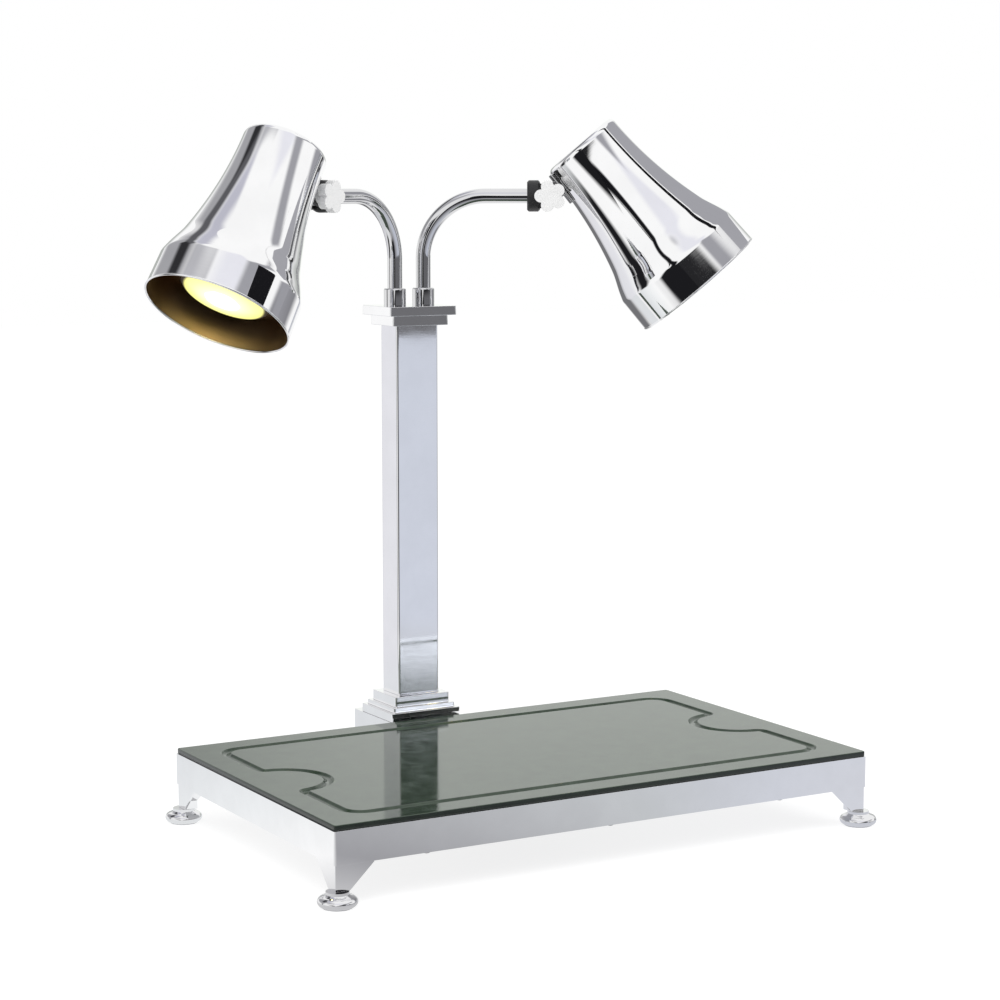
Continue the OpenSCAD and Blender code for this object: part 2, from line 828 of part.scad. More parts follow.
// A star knob with a round boss against the fork and a blind hole for the screw
module tilt_knob(side) {
    color("whitesmoke") at_pivot(side) rotate([90, 0, 0]) translate([0, 0, ear_out]) difference() {
        union() {
            cylinder(r = boss_r, h = knob_boss + cut);
            translate([0, 0, knob_boss]) linear_extrude(knob_t) star();
        }
        translate([0, 0, -cut])
            cylinder(d = pivot_d + 2 * turn_gap, h = knob_boss + knob_t - knob_floor + cut);
    }
}

// Outer radius of the shade's bell at a distance below its top
function bell_r(d) =
    shade_top_r + (shade_bell_r - shade_top_r) * pow((d - shade_edge) / (bell_len - shade_edge), bell_power);
function smooth(t) = t * t * (3 - 2 * t);

// The shade's outer line from the middle of its top down to the rim, as [radius, distance below the top]
shade_line = concat(
    [[0, 0]],
    [for (a = [0 : 22.5 : 67.5])
        [shade_top_r - shade_edge + shade_edge * sin(a), shade_edge - shade_edge * cos(a)]],
    [for (i = [0 : bell_steps])
        let (d = shade_edge + (bell_len - shade_edge) * i / bell_steps) [bell_r(d), d]],
    [for (i = [1 : shoulder_steps])
        let (t = i / shoulder_steps)
        [shade_bell_r + (shoulder_r - shade_bell_r) * smooth(t), bell_len + shoulder_len * t]],
    [[shade_rim_r, shade_len]]
);

// The same line on the inside of the sheet
shade_inside =
    [for (p = shade_line) if (p[0] == 0 || p[1] > 0) [max(p[0] - shade_wall, 0), max(p[1], shade_wall)]];

module head_revolve(points, angle = 360) {
    at_axis() rotate([0, 0, 180 - angle / 2]) rotate_extrude(angle = angle)
        polygon([for (p = points) [p[0], -p[1]]]);
}

module at_axis() {
    translate([pivot_off, 0, pivot_drop]) children();
}

function reversed(list) = [for (i = [len(list) - 1 : -1 : 0]) list[i]];

module lamp_shade(side) {
    color("silver") at_head(side) head_revolve(concat(shade_line, reversed(shade_inside)));
}

// A saddle that hugs the shade, with a tongue that fits the hub's fork
module shade_bracket(side) {
    top = pivot_drop - pad_up;
    low = pivot_drop + pad_down;
    color("gray") at_head(side) difference() {
        union() {
            head_revolve([
                [bell_r(top) + slip_gap, top], [bell_r(low) + slip_gap, low],
                [bell_r(low) + slip_gap + pad_t, low], [bell_r(top) + slip_gap + pad_t, top]
            ], pad_angle);
            rotate([90, 0, 0]) translate([0, 0, -tongue_t / 2]) {
                cylinder(r = tongue_r, h = tongue_t);
                translate([0, -tongue_r, 0])
                    cube([pivot_off - bell_r(pivot_drop) - pad_t / 2, 2 * tongue_r, tongue_t]);
            }
        }
        translate([0, tongue_t, 0]) rotate([90, 0, 0])
            cylinder(d = pivot_d + 2 * turn_gap, h = 2 * tongue_t);
    }
}

module lamp_socket(side) {
    color("white") at_head(side) head_revolve([
        [0, shade_wall], [socket_d / 2, shade_wall], [socket_d / 2, shade_wall + socket_len - socket_edge],
        [socket_d / 2 - socket_edge, shade_wall + socket_len],
        [bulb_base_r + 2 * slip_gap, shade_wall + socket_len],
        [bulb_base_r + 2 * slip_gap, bulb_base_end - slip_gap], [0, bulb_base_end - slip_gap]
    ]);
}

// The bulb's line from its base end to the middle of its face, drawn in by the glass's thickness
function bulb_line(glass) = let (
        base_r = bulb_base_r - glass,
        face_r = bulb_d / 2 - glass
    ) concat(
        [[bulb_tip_r, bulb_base_end + glass], [base_r, bulb_base_end + glass], [base_r, bulb_neck]],
        [for (i = [1 : bulb_steps])
            let (t = i / bulb_steps)
            [base_r + (face_r - base_r) * pow(t, bulb_power), bulb_neck + (bulb_seat - bulb_neck) * t]],
        [for (a = [0 : 15 : 90])
            [face_r * cos(a), bulb_seat + bulb_edge + (bulb_dome - glass) * sin(a)]]
    );

// A hollow reflector bulb: screw base, swelling neck, short round side and domed face
module heat_bulb(side) {
    color("wheat") at_head(side)
        head_revolve(concat(bulb_line(0), reversed(bulb_line(bulb_glass))));
}

base_frame();
carving_board();
heat_spreader();
heating_element();
thermostat();
insulation_pad();
bottom_cover();
cover_screws();
leg(left, front);  // leg_front_left
leg(right, front);  // leg_front_right
leg(left, back);  // leg_back_left
leg(right, back);  // leg_back_right
foot(left, front);  // foot_front_left
foot(right, front);  // foot_front_right
foot(left, back);  // foot_back_left
foot(right, back);  // foot_back_right
foot_screws();
rear_box();
rear_box_cover();
rear_box_screws();
terminal_block();
cord_gland();
gland_nut();
switch_housing(left);  // lamp_switch
rocker(left);  // lamp_rocker
switch_housing(right);  // heat_switch
rocker(right);  // heat_rocker
post_plinth();
post_tube();
tie_rod();
tie_rod_nut();
post_cap();
arm_ferrule(left);  // left_arm_ferrule
arm_ferrule(right);  // right_arm_ferrule
post_lead(left);  // left_post_lead
post_lead(right);  // right_post_lead
arm_tube(left);  // left_arm_tube
arm_tube(right);  // right_arm_tube
arm_lead(left);  // left_arm_lead
arm_lead(right);  // right_arm_lead
arm_hub(left);  // left_arm_hub
arm_hub(right);  // right_arm_hub
pivot_screw(left);  // left_pivot_screw
pivot_screw(right);  // right_pivot_screw
tilt_knob(left);  // left_tilt_knob
tilt_knob(right);  // right_tilt_knob
shade_bracket(left);  // left_shade_bracket
shade_bracket(right);  // right_shade_bracket
lamp_shade(left);  // left_lamp_shade
lamp_shade(right);  // right_lamp_shade
lamp_socket(left);  // left_lamp_socket
lamp_socket(right);  // right_lamp_socket
heat_bulb(left);  // left_heat_bulb
heat_bulb(right);  // right_heat_bulb
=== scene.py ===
# Looks of the heated carving station, dressed over its CAD frame. Metres, in the frame's axes.
import json
import math

import bmesh
import bpy
from mathutils import Matrix, Vector


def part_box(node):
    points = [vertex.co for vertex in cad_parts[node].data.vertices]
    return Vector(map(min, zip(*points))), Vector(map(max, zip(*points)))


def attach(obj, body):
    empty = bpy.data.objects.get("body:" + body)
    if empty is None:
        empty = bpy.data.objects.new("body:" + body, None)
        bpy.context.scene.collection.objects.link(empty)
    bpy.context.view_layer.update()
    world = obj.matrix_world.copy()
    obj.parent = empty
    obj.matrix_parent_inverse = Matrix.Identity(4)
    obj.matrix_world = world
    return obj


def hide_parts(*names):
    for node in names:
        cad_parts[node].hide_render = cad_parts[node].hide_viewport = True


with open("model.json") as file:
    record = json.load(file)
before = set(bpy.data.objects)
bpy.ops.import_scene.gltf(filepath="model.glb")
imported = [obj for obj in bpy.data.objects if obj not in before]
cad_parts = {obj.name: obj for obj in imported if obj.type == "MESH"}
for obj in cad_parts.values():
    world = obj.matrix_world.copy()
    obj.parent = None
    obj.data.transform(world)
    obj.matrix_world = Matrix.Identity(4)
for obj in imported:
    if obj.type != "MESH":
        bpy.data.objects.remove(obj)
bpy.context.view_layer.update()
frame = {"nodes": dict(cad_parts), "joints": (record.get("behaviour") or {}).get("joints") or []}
scene = bpy.context.scene
joints = {joint["name"]: joint for joint in frame["joints"]}
MM = 0.001
UP = Vector((0, 0, 1))

# Sizes that the looks share with the CAD source
GROOVE_INSET = 33 * MM
GROOVE_HALF = 5 * MM
GROOVE_DEPTH = 3 * MM
GROOVE_CORNER = 22 * MM
BOW_R = 46 * MM
BOW_FILLET = 8 * MM
BOARD_CORNER = 2.5 * MM
TUBE_R = 8 * MM
TUBE_BEND = 68 * MM
TUBE_FOOT = -6 * MM
TUBE_END = 15 * MM
FERRULE_R = 12 * MM
FERRULE_H = 19 * MM
FOOT_H = 15 * MM
FOOT_R = 19 * MM
FOOT_NECK_R = 11 * MM
FOOT_SOLE_R = 14.5 * MM
FOOT_CORNERS = ("front_left", "front_right", "back_left", "back_right")
PIVOT_OFF = 60.5 * MM
PIVOT_DROP = 21.5 * MM
SHADE_WALL = 1.2 * MM
SHADE_TOP_R = 45 * MM
SHADE_BELL_R = 62.5 * MM
SHADE_SHOULDER_R = 75 * MM
SHADE_RIM_R = 76.3 * MM
SHADE_EDGE = 6 * MM
BELL_LEN = 128 * MM
SHOULDER_LEN = 26 * MM
BAND_LEN = 46 * MM
BULB_R = 47.5 * MM
BULB_SEAT = 168 * MM
BULB_EDGE = 8 * MM
BULB_DOME = 9 * MM
BULB_NECK_R = 13 * MM
BULB_TOP = 43 * MM
BULB_NECK_END = 68 * MM
KEY_INSET = 20.6 * MM
KEY_CORNER = 2 * MM
SCREW_HEAD_H = 2.6 * MM
TILT = {"left": math.radians(33), "right": math.radians(40.8)}
SIDES = ("left", "right")

# Forms that the looks alone have
SHADE_SWELL = 2 * MM
SHADE_BEAD_R = 1.1 * MM
BULB_FLARE = 0.75
FERRULE_ROUND = 2 * MM
BOARD_EASE = 0.8 * MM
BOARD_UNDER_EASE = 0.5 * MM
CAP_LEAN = math.radians(1.8)

# How meshes are joined and shaded
MERGE_GAP = 0.005 * MM
SEAM_GAP = 0.002 * MM
FLAT_ANGLE = math.radians(0.5)
ROUNDED_ANGLE = math.radians(30)
TURNED_CREASE = math.radians(38)
SHEET_CREASE = math.radians(40)


# Node trees and meshes


def node(tree, kind, inputs=None, **settings):
    """Adds a node. An input given as a socket is linked, and any other value is set."""
    made = tree.nodes.new(kind)
    for name, value in settings.items():
        setattr(made, name, value)
    for key, value in (inputs or {}).items():
        if isinstance(value, bpy.types.NodeSocket):
            tree.links.new(value, made.inputs[key])
        else:
            made.inputs[key].default_value = value
    return made


def math_node(tree, operation, first, second=0.0):
    return node(tree, "ShaderNodeMath", {0: first, 1: second}, operation=operation).outputs[0]


def product(tree, first, *others):
    for other in others:
        first = math_node(tree, "MULTIPLY", first, other)
    return first


def map_range(tree, value, low, high, to_low, to_high, smooth=False):
    """Maps a value from one range to another and holds it at the ends."""
    made = node(tree, "ShaderNodeMapRange", {
        "Value": value, "From Min": low, "From Max": high, "To Min": to_low, "To Max": to_high,
    }, interpolation_type="SMOOTHSTEP" if smooth else "LINEAR")
    return made.outputs["Result"]


def new_tree(name, inputs):
    """A Geometry Nodes tree with named inputs; returns the tree, its inputs and its output node."""
    tree = bpy.data.node_groups.new(name, "GeometryNodeTree")
    tree.interface.new_socket("Geometry", in_out="INPUT", socket_type="NodeSocketGeometry")
    for label, kind in inputs:
        tree.interface.new_socket(label, in_out="INPUT", socket_type="NodeSocket" + kind)
    tree.interface.new_socket("Geometry", in_out="OUTPUT", socket_type="NodeSocketGeometry")
    return tree, tree.nodes.new("NodeGroupInput").outputs, tree.nodes.new("NodeGroupOutput")


def grown(tree, start, values):
    """Runs a tree on a mesh and returns what it makes as a plain mesh."""
    carrier = bpy.data.objects.new("carrier", start)
    scene.collection.objects.link(carrier)
    modifier = carrier.modifiers.new("tree", "NODES")
    modifier.node_group = tree
    for item in tree.interface.items_tree:
        if item.in_out == "INPUT" and item.name in values:
            modifier[item.identifier] = values[item.name]
    depsgraph = bpy.context.evaluated_depsgraph_get()
    mesh = bpy.data.meshes.new_from_object(carrier.evaluated_get(depsgraph), depsgraph=depsgraph)
    carrier.modifiers.remove(modifier)
    bpy.data.objects.remove(carrier)
    return mesh


def points_mesh(points, edges=()):
    mesh = bpy.data.meshes.new("points")
    mesh.from_pydata([tuple(p) for p in points], list(edges), [])
    return mesh


def add_piece(name, mesh, body, nodes, finishes=(), even=False):
    """Puts a finished mesh in the scene, riding on its CAD body in place of its CAD nodes.

    Even shading weighs the normals by face area, for flat faces with rounded edges.
    """
    for finish in finishes:
        mesh.materials.append(finish)
    mesh.name = name
    piece = bpy.data.objects.new(name, mesh)
    scene.collection.objects.link(piece)
    if even:
        piece.modifiers.new("even shading", "WEIGHTED_NORMAL").keep_sharp = True
    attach(piece, body)
    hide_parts(*nodes)


def placed(mesh, matrix):
    mesh.transform(matrix)
    mesh.update()
    return mesh


def turned(line, steps, hexed=()):
    """A mesh turned about Z from a line of (radius, height); rings listed in hexed are six-sided."""
    bm = bmesh.new()
    rings = []
    for index, (radius, height) in enumerate(line):
        if radius <= 0:
            rings.append([bm.verts.new((0, 0, height))])
            continue
        ring = []
        for step in range(steps):
            angle = 2 * math.pi * step / steps
            reach = radius
            if index in hexed:
                reach = radius / math.cos((angle + math.pi / 6) % (math.pi / 3) - math.pi / 6)
            ring.append(bm.verts.new((reach * math.cos(angle), reach * math.sin(angle), height)))
        rings.append(ring)
    for low, high in zip(rings, rings[1:]):
        for step in range(steps):
            after = (step + 1) % steps
            corners = [low[step % len(low)], low[after % len(low)],
                       high[after % len(high)], high[step % len(high)]]
            unique = list(dict.fromkeys(corners))
            if len(unique) > 2:
                bm.faces.new(unique)
    bmesh.ops.recalc_face_normals(bm, faces=bm.faces)
    mesh = bpy.data.meshes.new("turned")
    bm.to_mesh(mesh)
    bm.free()
    mesh.shade_smooth()
    mesh.set_sharp_from_angle(angle=TURNED_CREASE)
    return mesh


def softened(cad_node, width, segments=3):
    """A merged copy of a CAD node's mesh with its sharp edges rounded over."""
    bm = bmesh.new()
    bm.from_mesh(frame["nodes"][cad_node].data)
    bmesh.ops.remove_doubles(bm, verts=bm.verts, dist=MERGE_GAP)
    bmesh.ops.dissolve_limit(bm, angle_limit=FLAT_ANGLE, verts=bm.verts, edges=bm.edges)
    sharp = [e for e in bm.edges if len(e.link_faces) == 2 and e.calc_face_angle() > ROUNDED_ANGLE]
    bmesh.ops.bevel(bm, geom=sharp, offset=width, offset_type="OFFSET", segments=segments,
                    profile=0.5, affect="EDGES", clamp_overlap=True)
    mesh = bpy.data.meshes.new(cad_node)
    bm.to_mesh(mesh)
    bm.free()
    mesh.shade_smooth()
    mesh.set_sharp_from_angle(angle=SHEET_CREASE)
    mesh.materials.clear()
    return mesh


# Materials


def new_material(name, **sockets):
    """A material of one Principled shader; returns the material, its tree and the shader."""
    material = bpy.data.materials.new(name)
    material.use_nodes = True
    tree = material.node_tree
    shader = tree.nodes["Principled BSDF"]
    for label, value in sockets.items():
        shader.inputs[label.replace("_", " ")].default_value = value
    return material, tree, shader


def object_coords(tree, matrix=None, scale=(1, 1, 1)):
    """Object coordinates, read in the axes of a matrix where one is given, and stretched."""
    coords = node(tree, "ShaderNodeTexCoord").outputs["Object"]
    if matrix is not None:
        coords = node(tree, "ShaderNodeMapping", {
            "Vector": coords, "Location": matrix.translation, "Rotation": matrix.to_euler(),
        }, vector_type="TEXTURE").outputs[0]
    return node(tree, "ShaderNodeMapping", {"Vector": coords, "Scale": scale}).outputs[0]


def noise(tree, coords, scale, detail, roughness=0.55):
    made = node(tree, "ShaderNodeTexNoise", {
        "Vector": coords, "Scale": scale, "Detail": detail, "Roughness": roughness,
    })
    return made.outputs[0]


def ramp(tree, factor, stops):
    """A colour ramp of (place, colour) stops."""
    made = node(tree, "ShaderNodeValToRGB", {"Fac": factor})
    elements = made.color_ramp.elements
    while len(elements) < len(stops):
        elements.new(1.0)
    for element, (place, colour) in zip(elements, stops):
        element.position = place
        element.color = (*colour, 1)
    return made.outputs["Color"]


def mix_colour(tree, factor, first, second):
    """Mixes two colours, each a socket or a plain colour."""
    mixed = node(tree, "ShaderNodeMix", {"Factor": factor}, data_type="RGBA")
    for place, colour in ((6, first), (7, second)):
        if isinstance(colour, bpy.types.NodeSocket):
            tree.links.new(colour, mixed.inputs[place])
        else:
            mixed.inputs[place].default_value = (*colour, 1)
    return mixed.outputs[2]


def tint_by(tree, shader, pattern, dark, light):
    """Colours the shader between two tints by a pattern."""
    tree.links.new(ramp(tree, pattern, [(0.35, dark), (0.65, light)]), shader.inputs["Base Color"])


def bump_by(tree, shader, height, strength, distance):
    bump = node(tree, "ShaderNodeBump", {"Height": height, "Strength": strength, "Distance": distance})
    tree.links.new(bump.outputs["Normal"], shader.inputs["Normal"])


def chrome(name, tint, smooth, smeared, matrix=None, lines=(1, 1, 1), line_depth=0.0):
    """Polished metal: faint smears in its gloss, and polishing lines along the stretched axes."""
    material, tree, shader = new_material(name, Metallic=1.0)
    smears = noise(tree, object_coords(tree), 28.0, 6.0)
    tree.links.new(map_range(tree, smears, 0.35, 0.7, smooth, smeared), shader.inputs["Roughness"])
    tint_by(tree, shader, smears, [0.96 * c for c in tint], tint)
    fine = noise(tree, object_coords(tree, matrix, lines), 60.0, 3.0)
    bump_by(tree, shader, fine, 0.35, line_depth)
    return material


def head_matrix(side):
    """The frame of one lamp: its origin at the middle of the shade's top, and Z along its axis."""
    pivot = Vector(joints[side + "_lamp_tilt"]["pos_m"])
    out = pivot - Vector(joints[side + "_arm_swivel"]["pos_m"])
    out = Vector((out.x, out.y, 0)).normalized()
    tilt = TILT[side]
    across = out * math.cos(tilt) + UP * math.sin(tilt)
    along = UP * math.cos(tilt) - out * math.sin(tilt)
    matrix = Matrix((across, along.cross(across), along)).transposed().to_4x4()
    matrix.translation = pivot + across * PIVOT_OFF + along * PIVOT_DROP
    return matrix


def arm_matrix(side):
    """The frame of one arm: its origin on the cap under the tube, and X along the level run."""
    foot = Vector(joints[side + "_arm_swivel"]["pos_m"])
    out = Vector(joints[side + "_lamp_tilt"]["pos_m"]) - foot
    out = Vector((out.x, out.y, 0)).normalized()
    matrix = Matrix((out, UP.cross(out), UP)).transposed().to_4x4()
    matrix.translation = foot
    return matrix


polished_steel = chrome("polished steel", (0.95, 0.95, 0.96), 0.025, 0.06, lines=(0.3, 0.3, 14),
                        line_depth=0.004 * MM)
arm_chrome = chrome("arm chrome", (0.74, 0.74, 0.75), 0.03, 0.08, line_depth=0.01 * MM)
foot_chrome = chrome("foot chrome", (0.84, 0.84, 0.85), 0.04, 0.1, line_depth=0.01 * MM)
cover_steel = chrome("brushed cover steel", (0.55, 0.55, 0.56), 0.28, 0.42, lines=(0.2, 30, 30),
                     line_depth=0.05 * MM)
screw_steel = chrome("screw steel", (0.6, 0.6, 0.6), 0.18, 0.35, line_depth=0.03 * MM)
aluminium = chrome("rolled aluminium", (0.72, 0.72, 0.73), 0.3, 0.45, lines=(30, 0.3, 30),
                   line_depth=0.04 * MM)
heater_sheath = chrome("heater sheath", (0.26, 0.24, 0.23), 0.4, 0.6, line_depth=0.06 * MM)
spun_chrome = {
    side: chrome(f"spun chrome {side}", (0.95, 0.95, 0.955), 0.02, 0.05, matrix=head_matrix(side),
                 lines=(0.02, 0.02, 9), line_depth=0.012 * MM)
    for side in SIDES
}
shade_lining = chrome("shade lining", (0.42, 0.29, 0.17), 0.36, 0.48, line_depth=0.03 * MM)


def mottled(name, dark, light, scale, roughness, spread, grain=0.02 * MM, **sockets):
    """A dielectric with mottled colour, uneven gloss and a fine grain."""
    material, tree, shader = new_material(name, **sockets)
    coords = object_coords(tree)
    patches = noise(tree, coords, scale, 8.0, 0.62)
    tint_by(tree, shader, patches, dark, light)
    gloss = map_range(tree, patches, 0.3, 0.7, roughness, roughness + spread)
    tree.links.new(gloss, shader.inputs["Roughness"])
    bump_by(tree, shader, noise(tree, coords, scale * 12, 2.0), 0.3, grain)
    return material


board_face = mottled("board face", (0.030, 0.048, 0.032), (0.052, 0.078, 0.053), 70.0, 0.05, 0.06,
                     0.004 * MM, IOR=1.5)
# The sides and underside take a darker, rougher copy of the board's stone: painted shade on every face that
# doesn't face up.
board_side_painted_shade = mottled("board side painted shade", (0.006, 0.011, 0.008), (0.012, 0.020, 0.014), 90.0, 0.12, 0.1,
                     0.01 * MM, IOR=1.5)
black_plastic = mottled("black moulded plastic", (0.012, 0.012, 0.013), (0.02, 0.02, 0.021), 160.0,
                        0.42, 0.15, 0.05 * MM)
rocker_plastic = mottled("rocker plastic", (0.016, 0.016, 0.017), (0.028, 0.028, 0.03), 220.0, 0.3, 0.12,
                         0.03 * MM)
# The knobs are chrome; their even white is a painted highlight standing in for the white gleam they show.
painted_highlight_knob = mottled("knob white as painted highlight", (0.90, 0.90, 0.90), (0.94, 0.94, 0.94), 90.0, 0.3, 0.12)
ceramic = mottled("socket ceramic", (0.66, 0.63, 0.57), (0.78, 0.76, 0.71), 120.0, 0.3, 0.2)
insulation = mottled("insulation felt", (0.42, 0.38, 0.3), (0.62, 0.57, 0.47), 240.0, 0.85, 0.1, 0.4 * MM)
lead_rubber = mottled("lead rubber", (0.5, 0.5, 0.48), (0.62, 0.62, 0.6), 180.0, 0.5, 0.15)


def lit_glass(side):
    """A heat bulb's glass: a glowing window, hottest in its middle, in a dark rim and neck."""
    material, tree, shader = new_material(f"bulb glass {side}", Roughness=0.22, IOR=1.5)
    place = node(tree, "ShaderNodeSeparateXYZ", {0: object_coords(tree, head_matrix(side))})
    x_squared = math_node(tree, "POWER", place.outputs["X"], 2.0)
    y_squared = math_node(tree, "POWER", place.outputs["Y"], 2.0)
    radius = math_node(tree, "SQRT", math_node(tree, "ADD", x_squared, y_squared))
    depth = math_node(tree, "MULTIPLY", place.outputs["Z"], -1.0)
    frost = noise(tree, object_coords(tree), 120.0, 5.0)
    share = map_range(tree, radius, 0.0, BULB_R, 0.0, 1.0)
    spread = math_node(tree, "ADD", share, map_range(tree, frost, 0.3, 0.7, -0.02, 0.02))
    glow = ramp(tree, spread, [
        (0.1, (1.0, 0.80, 0.36)), (0.42, (0.97, 0.98, 0.62)),
        (0.7, (0.96, 0.97, 0.34)), (0.9, (0.92, 0.88, 0.24)),
    ])
    tree.links.new(glow, shader.inputs["Emission Color"])
    face = map_range(tree, depth, BULB_SEAT - 6 * MM, BULB_SEAT + 4 * MM, 0.0, 1.0, True)
    in_window = map_range(tree, share, 0.86, 0.93, 1.0, 0.0, True)
    heat = map_range(tree, spread, 0.12, 0.42, 22.0, 1.0, True)
    tree.links.new(product(tree, face, in_window, heat), shader.inputs["Emission Strength"])
    frosted = ramp(tree, frost, [(0.35, (0.20, 0.18, 0.12)), (0.65, (0.28, 0.25, 0.18))])
    glass = mix_colour(tree, in_window, (0.10, 0.085, 0.07), frosted)
    tree.links.new(glass, shader.inputs["Base Color"])
    bump_by(tree, shader, frost, 0.2, 0.05 * MM)
    return material


# Spun shades: a bell whose radius follows a rule, with a rolled rim


def shade_tree():
    tree, given, out = new_tree("Spun shade", [
        ("Top Radius", "Float"), ("Bell Radius", "Float"), ("Shoulder Radius", "Float"),
        ("Rim Radius", "Float"), ("Edge Round", "Float"), ("Bell Length", "Float"),
        ("Shoulder Length", "Float"), ("Band Length", "Float"), ("Swell", "Float"), ("Wall", "Float"),
        ("Bead Radius", "Float"), ("Segments", "Int"), ("Rows", "Int"), ("Outside", "Material"),
        ("Inside", "Material"),
    ])
    shoulder_end = math_node(tree, "ADD", given["Bell Length"], given["Shoulder Length"])
    length = math_node(tree, "ADD", shoulder_end, given["Band Length"])
    sheet = node(tree, "GeometryNodeMeshGrid", {
        "Size X": 1.0, "Size Y": 1.0, "Vertices X": given["Segments"], "Vertices Y": given["Rows"],
    }).outputs["Mesh"]
    place = node(tree, "ShaderNodeSeparateXYZ", {0: node(tree, "GeometryNodeInputPosition").outputs[0]})
    angle = math_node(tree, "MULTIPLY", math_node(tree, "ADD", place.outputs["X"], 0.5), 2 * math.pi)
    row = math_node(tree, "ADD", place.outputs["Y"], 0.5)
    depth = math_node(tree, "MULTIPLY", math_node(tree, "POWER", row, 2.0), length)

    run = math_node(tree, "SUBTRACT", given["Bell Length"], given["Edge Round"])
    below_edge = math_node(tree, "SUBTRACT", depth, given["Edge Round"])
    below_edge = math_node(tree, "MAXIMUM", below_edge, 0.0)
    opened = math_node(tree, "POWER", math_node(tree, "DIVIDE", below_edge, run), 2.0)
    bell = math_node(tree, "SUBTRACT", given["Bell Radius"], given["Top Radius"])
    radius = math_node(tree, "ADD", given["Top Radius"], math_node(tree, "MULTIPLY", bell, opened))
    swell = map_range(tree, depth, given["Bell Length"], shoulder_end, 0.0, given["Swell"], True)
    band = map_range(tree, depth, shoulder_end, length, given["Shoulder Radius"], given["Rim Radius"])
    radius = math_node(tree, "MINIMUM", math_node(tree, "ADD", radius, swell), band)
    above = map_range(tree, depth, 0.0, given["Edge Round"], 1.0, 0.0)
    arc = math_node(tree, "SQRT", math_node(tree, "SUBTRACT", 1.0, math_node(tree, "POWER", above, 2.0)))
    rounding = math_node(tree, "MULTIPLY", given["Edge Round"], math_node(tree, "SUBTRACT", 1.0, arc))
    radius = math_node(tree, "SUBTRACT", radius, rounding)
    not_axis = math_node(tree, "GREATER_THAN", row, 0.001)

    def shell(reach, down, finish):
        """The sheet bent round at these radii and depths, closed at its seam and its top."""
        reach = math_node(tree, "MULTIPLY", reach, not_axis)
        spot = node(tree, "ShaderNodeCombineXYZ", {
            "X": math_node(tree, "MULTIPLY", reach, math_node(tree, "COSINE", angle)),
            "Y": math_node(tree, "MULTIPLY", reach, math_node(tree, "SINE", angle)),
            "Z": math_node(tree, "MULTIPLY", down, -1.0),
        })
        bent = node(tree, "GeometryNodeSetPosition", {"Geometry": sheet, "Position": spot.outputs[0]})
        joined = node(tree, "GeometryNodeMergeByDistance", {
            "Geometry": bent.outputs[0], "Distance": SEAM_GAP,
        })
        return node(tree, "GeometryNodeSetMaterial", {
            "Geometry": joined.outputs[0], "Material": finish,
        }).outputs[0]

    outer = shell(radius, depth, given["Outside"])
    inner = shell(math_node(tree, "SUBTRACT", radius, given["Wall"]),
                  math_node(tree, "MAXIMUM", depth, given["Wall"]), given["Inside"])
    inner = node(tree, "GeometryNodeFlipFaces", {"Mesh": inner}).outputs[0]
    half_wall = math_node(tree, "MULTIPLY", given["Wall"], 0.5)
    wall_middle = math_node(tree, "SUBTRACT", given["Rim Radius"], half_wall)
    rim = node(tree, "GeometryNodeCurvePrimitiveCircle", {
        "Resolution": given["Segments"], "Radius": wall_middle,
    })
    wire = node(tree, "GeometryNodeCurvePrimitiveCircle", {
        "Resolution": 14, "Radius": given["Bead Radius"],
    })
    bead = node(tree, "GeometryNodeCurveToMesh", {
        "Curve": rim.outputs["Curve"], "Profile Curve": wire.outputs["Curve"],
    })
    low = math_node(tree, "SUBTRACT", given["Bead Radius"], length)
    bead = node(tree, "GeometryNodeTransform", {
        "Geometry": bead.outputs[0],
        "Translation": node(tree, "ShaderNodeCombineXYZ", {"Z": low}).outputs[0],
    })
    bead = node(tree, "GeometryNodeSetMaterial", {
        "Geometry": bead.outputs[0], "Material": given["Outside"],
    })
    whole = node(tree, "GeometryNodeJoinGeometry")
    for part in (bead.outputs[0], inner, outer):
        tree.links.new(part, whole.inputs[0])
    smooth = node(tree, "GeometryNodeSetShadeSmooth", {"Geometry": whole.outputs[0], "Shade Smooth": True})
    tree.links.new(node(tree, "GeometryNodeRealizeInstances", {
        "Geometry": smooth.outputs[0],
    }).outputs[0], out.inputs[0])
    return tree


# Bent tubes: a path with rounded corners swept with a round section


def tube_tree():
    tree, given, out = new_tree("Bent tube", [
        ("Radius", "Float"), ("Bend", "Float"), ("Steps", "Int"), ("Sides", "Int"), ("Finish", "Material"),
    ])
    path = node(tree, "GeometryNodeMeshToCurve", {"Mesh": given["Geometry"]}).outputs[0]
    path = node(tree, "GeometryNodeFilletCurve", {
        "Curve": path, "Radius": given["Bend"], "Count": given["Steps"],
    }, mode="POLY").outputs[0]
    section = node(tree, "GeometryNodeCurvePrimitiveCircle", {
        "Resolution": given["Sides"], "Radius": given["Radius"],
    })
    swept = node(tree, "GeometryNodeCurveToMesh", {
        "Curve": path, "Profile Curve": section.outputs["Curve"], "Fill Caps": True,
    })
    smooth = node(tree, "GeometryNodeSetShadeSmooth", {"Geometry": swept.outputs[0], "Shade Smooth": True})
    whole = node(tree, "GeometryNodeRealizeInstances", {"Geometry": smooth.outputs[0]})
    tree.links.new(node(tree, "GeometryNodeSetMaterial", {
        "Geometry": whole.outputs[0], "Material": given["Finish"],
    }).outputs[0], out.inputs[0])
    return tree


# Repeated parts: one part at each point of a mesh


def repeat_tree():
    tree, given, out = new_tree("Repeated part", [("Part", "Object"), ("Finish", "Material")])
    part = node(tree, "GeometryNodeObjectInfo", {"Object": given["Part"]})
    spread = node(tree, "GeometryNodeInstanceOnPoints", {
        "Points": given["Geometry"], "Instance": part.outputs["Geometry"],
    })
    whole = node(tree, "GeometryNodeRealizeInstances", {"Geometry": spread.outputs[0]})
    tree.links.new(node(tree, "GeometryNodeSetMaterial", {
        "Geometry": whole.outputs[0], "Material": given["Finish"],
    }).outputs[0], out.inputs[0])
    return tree


repeated = repeat_tree()


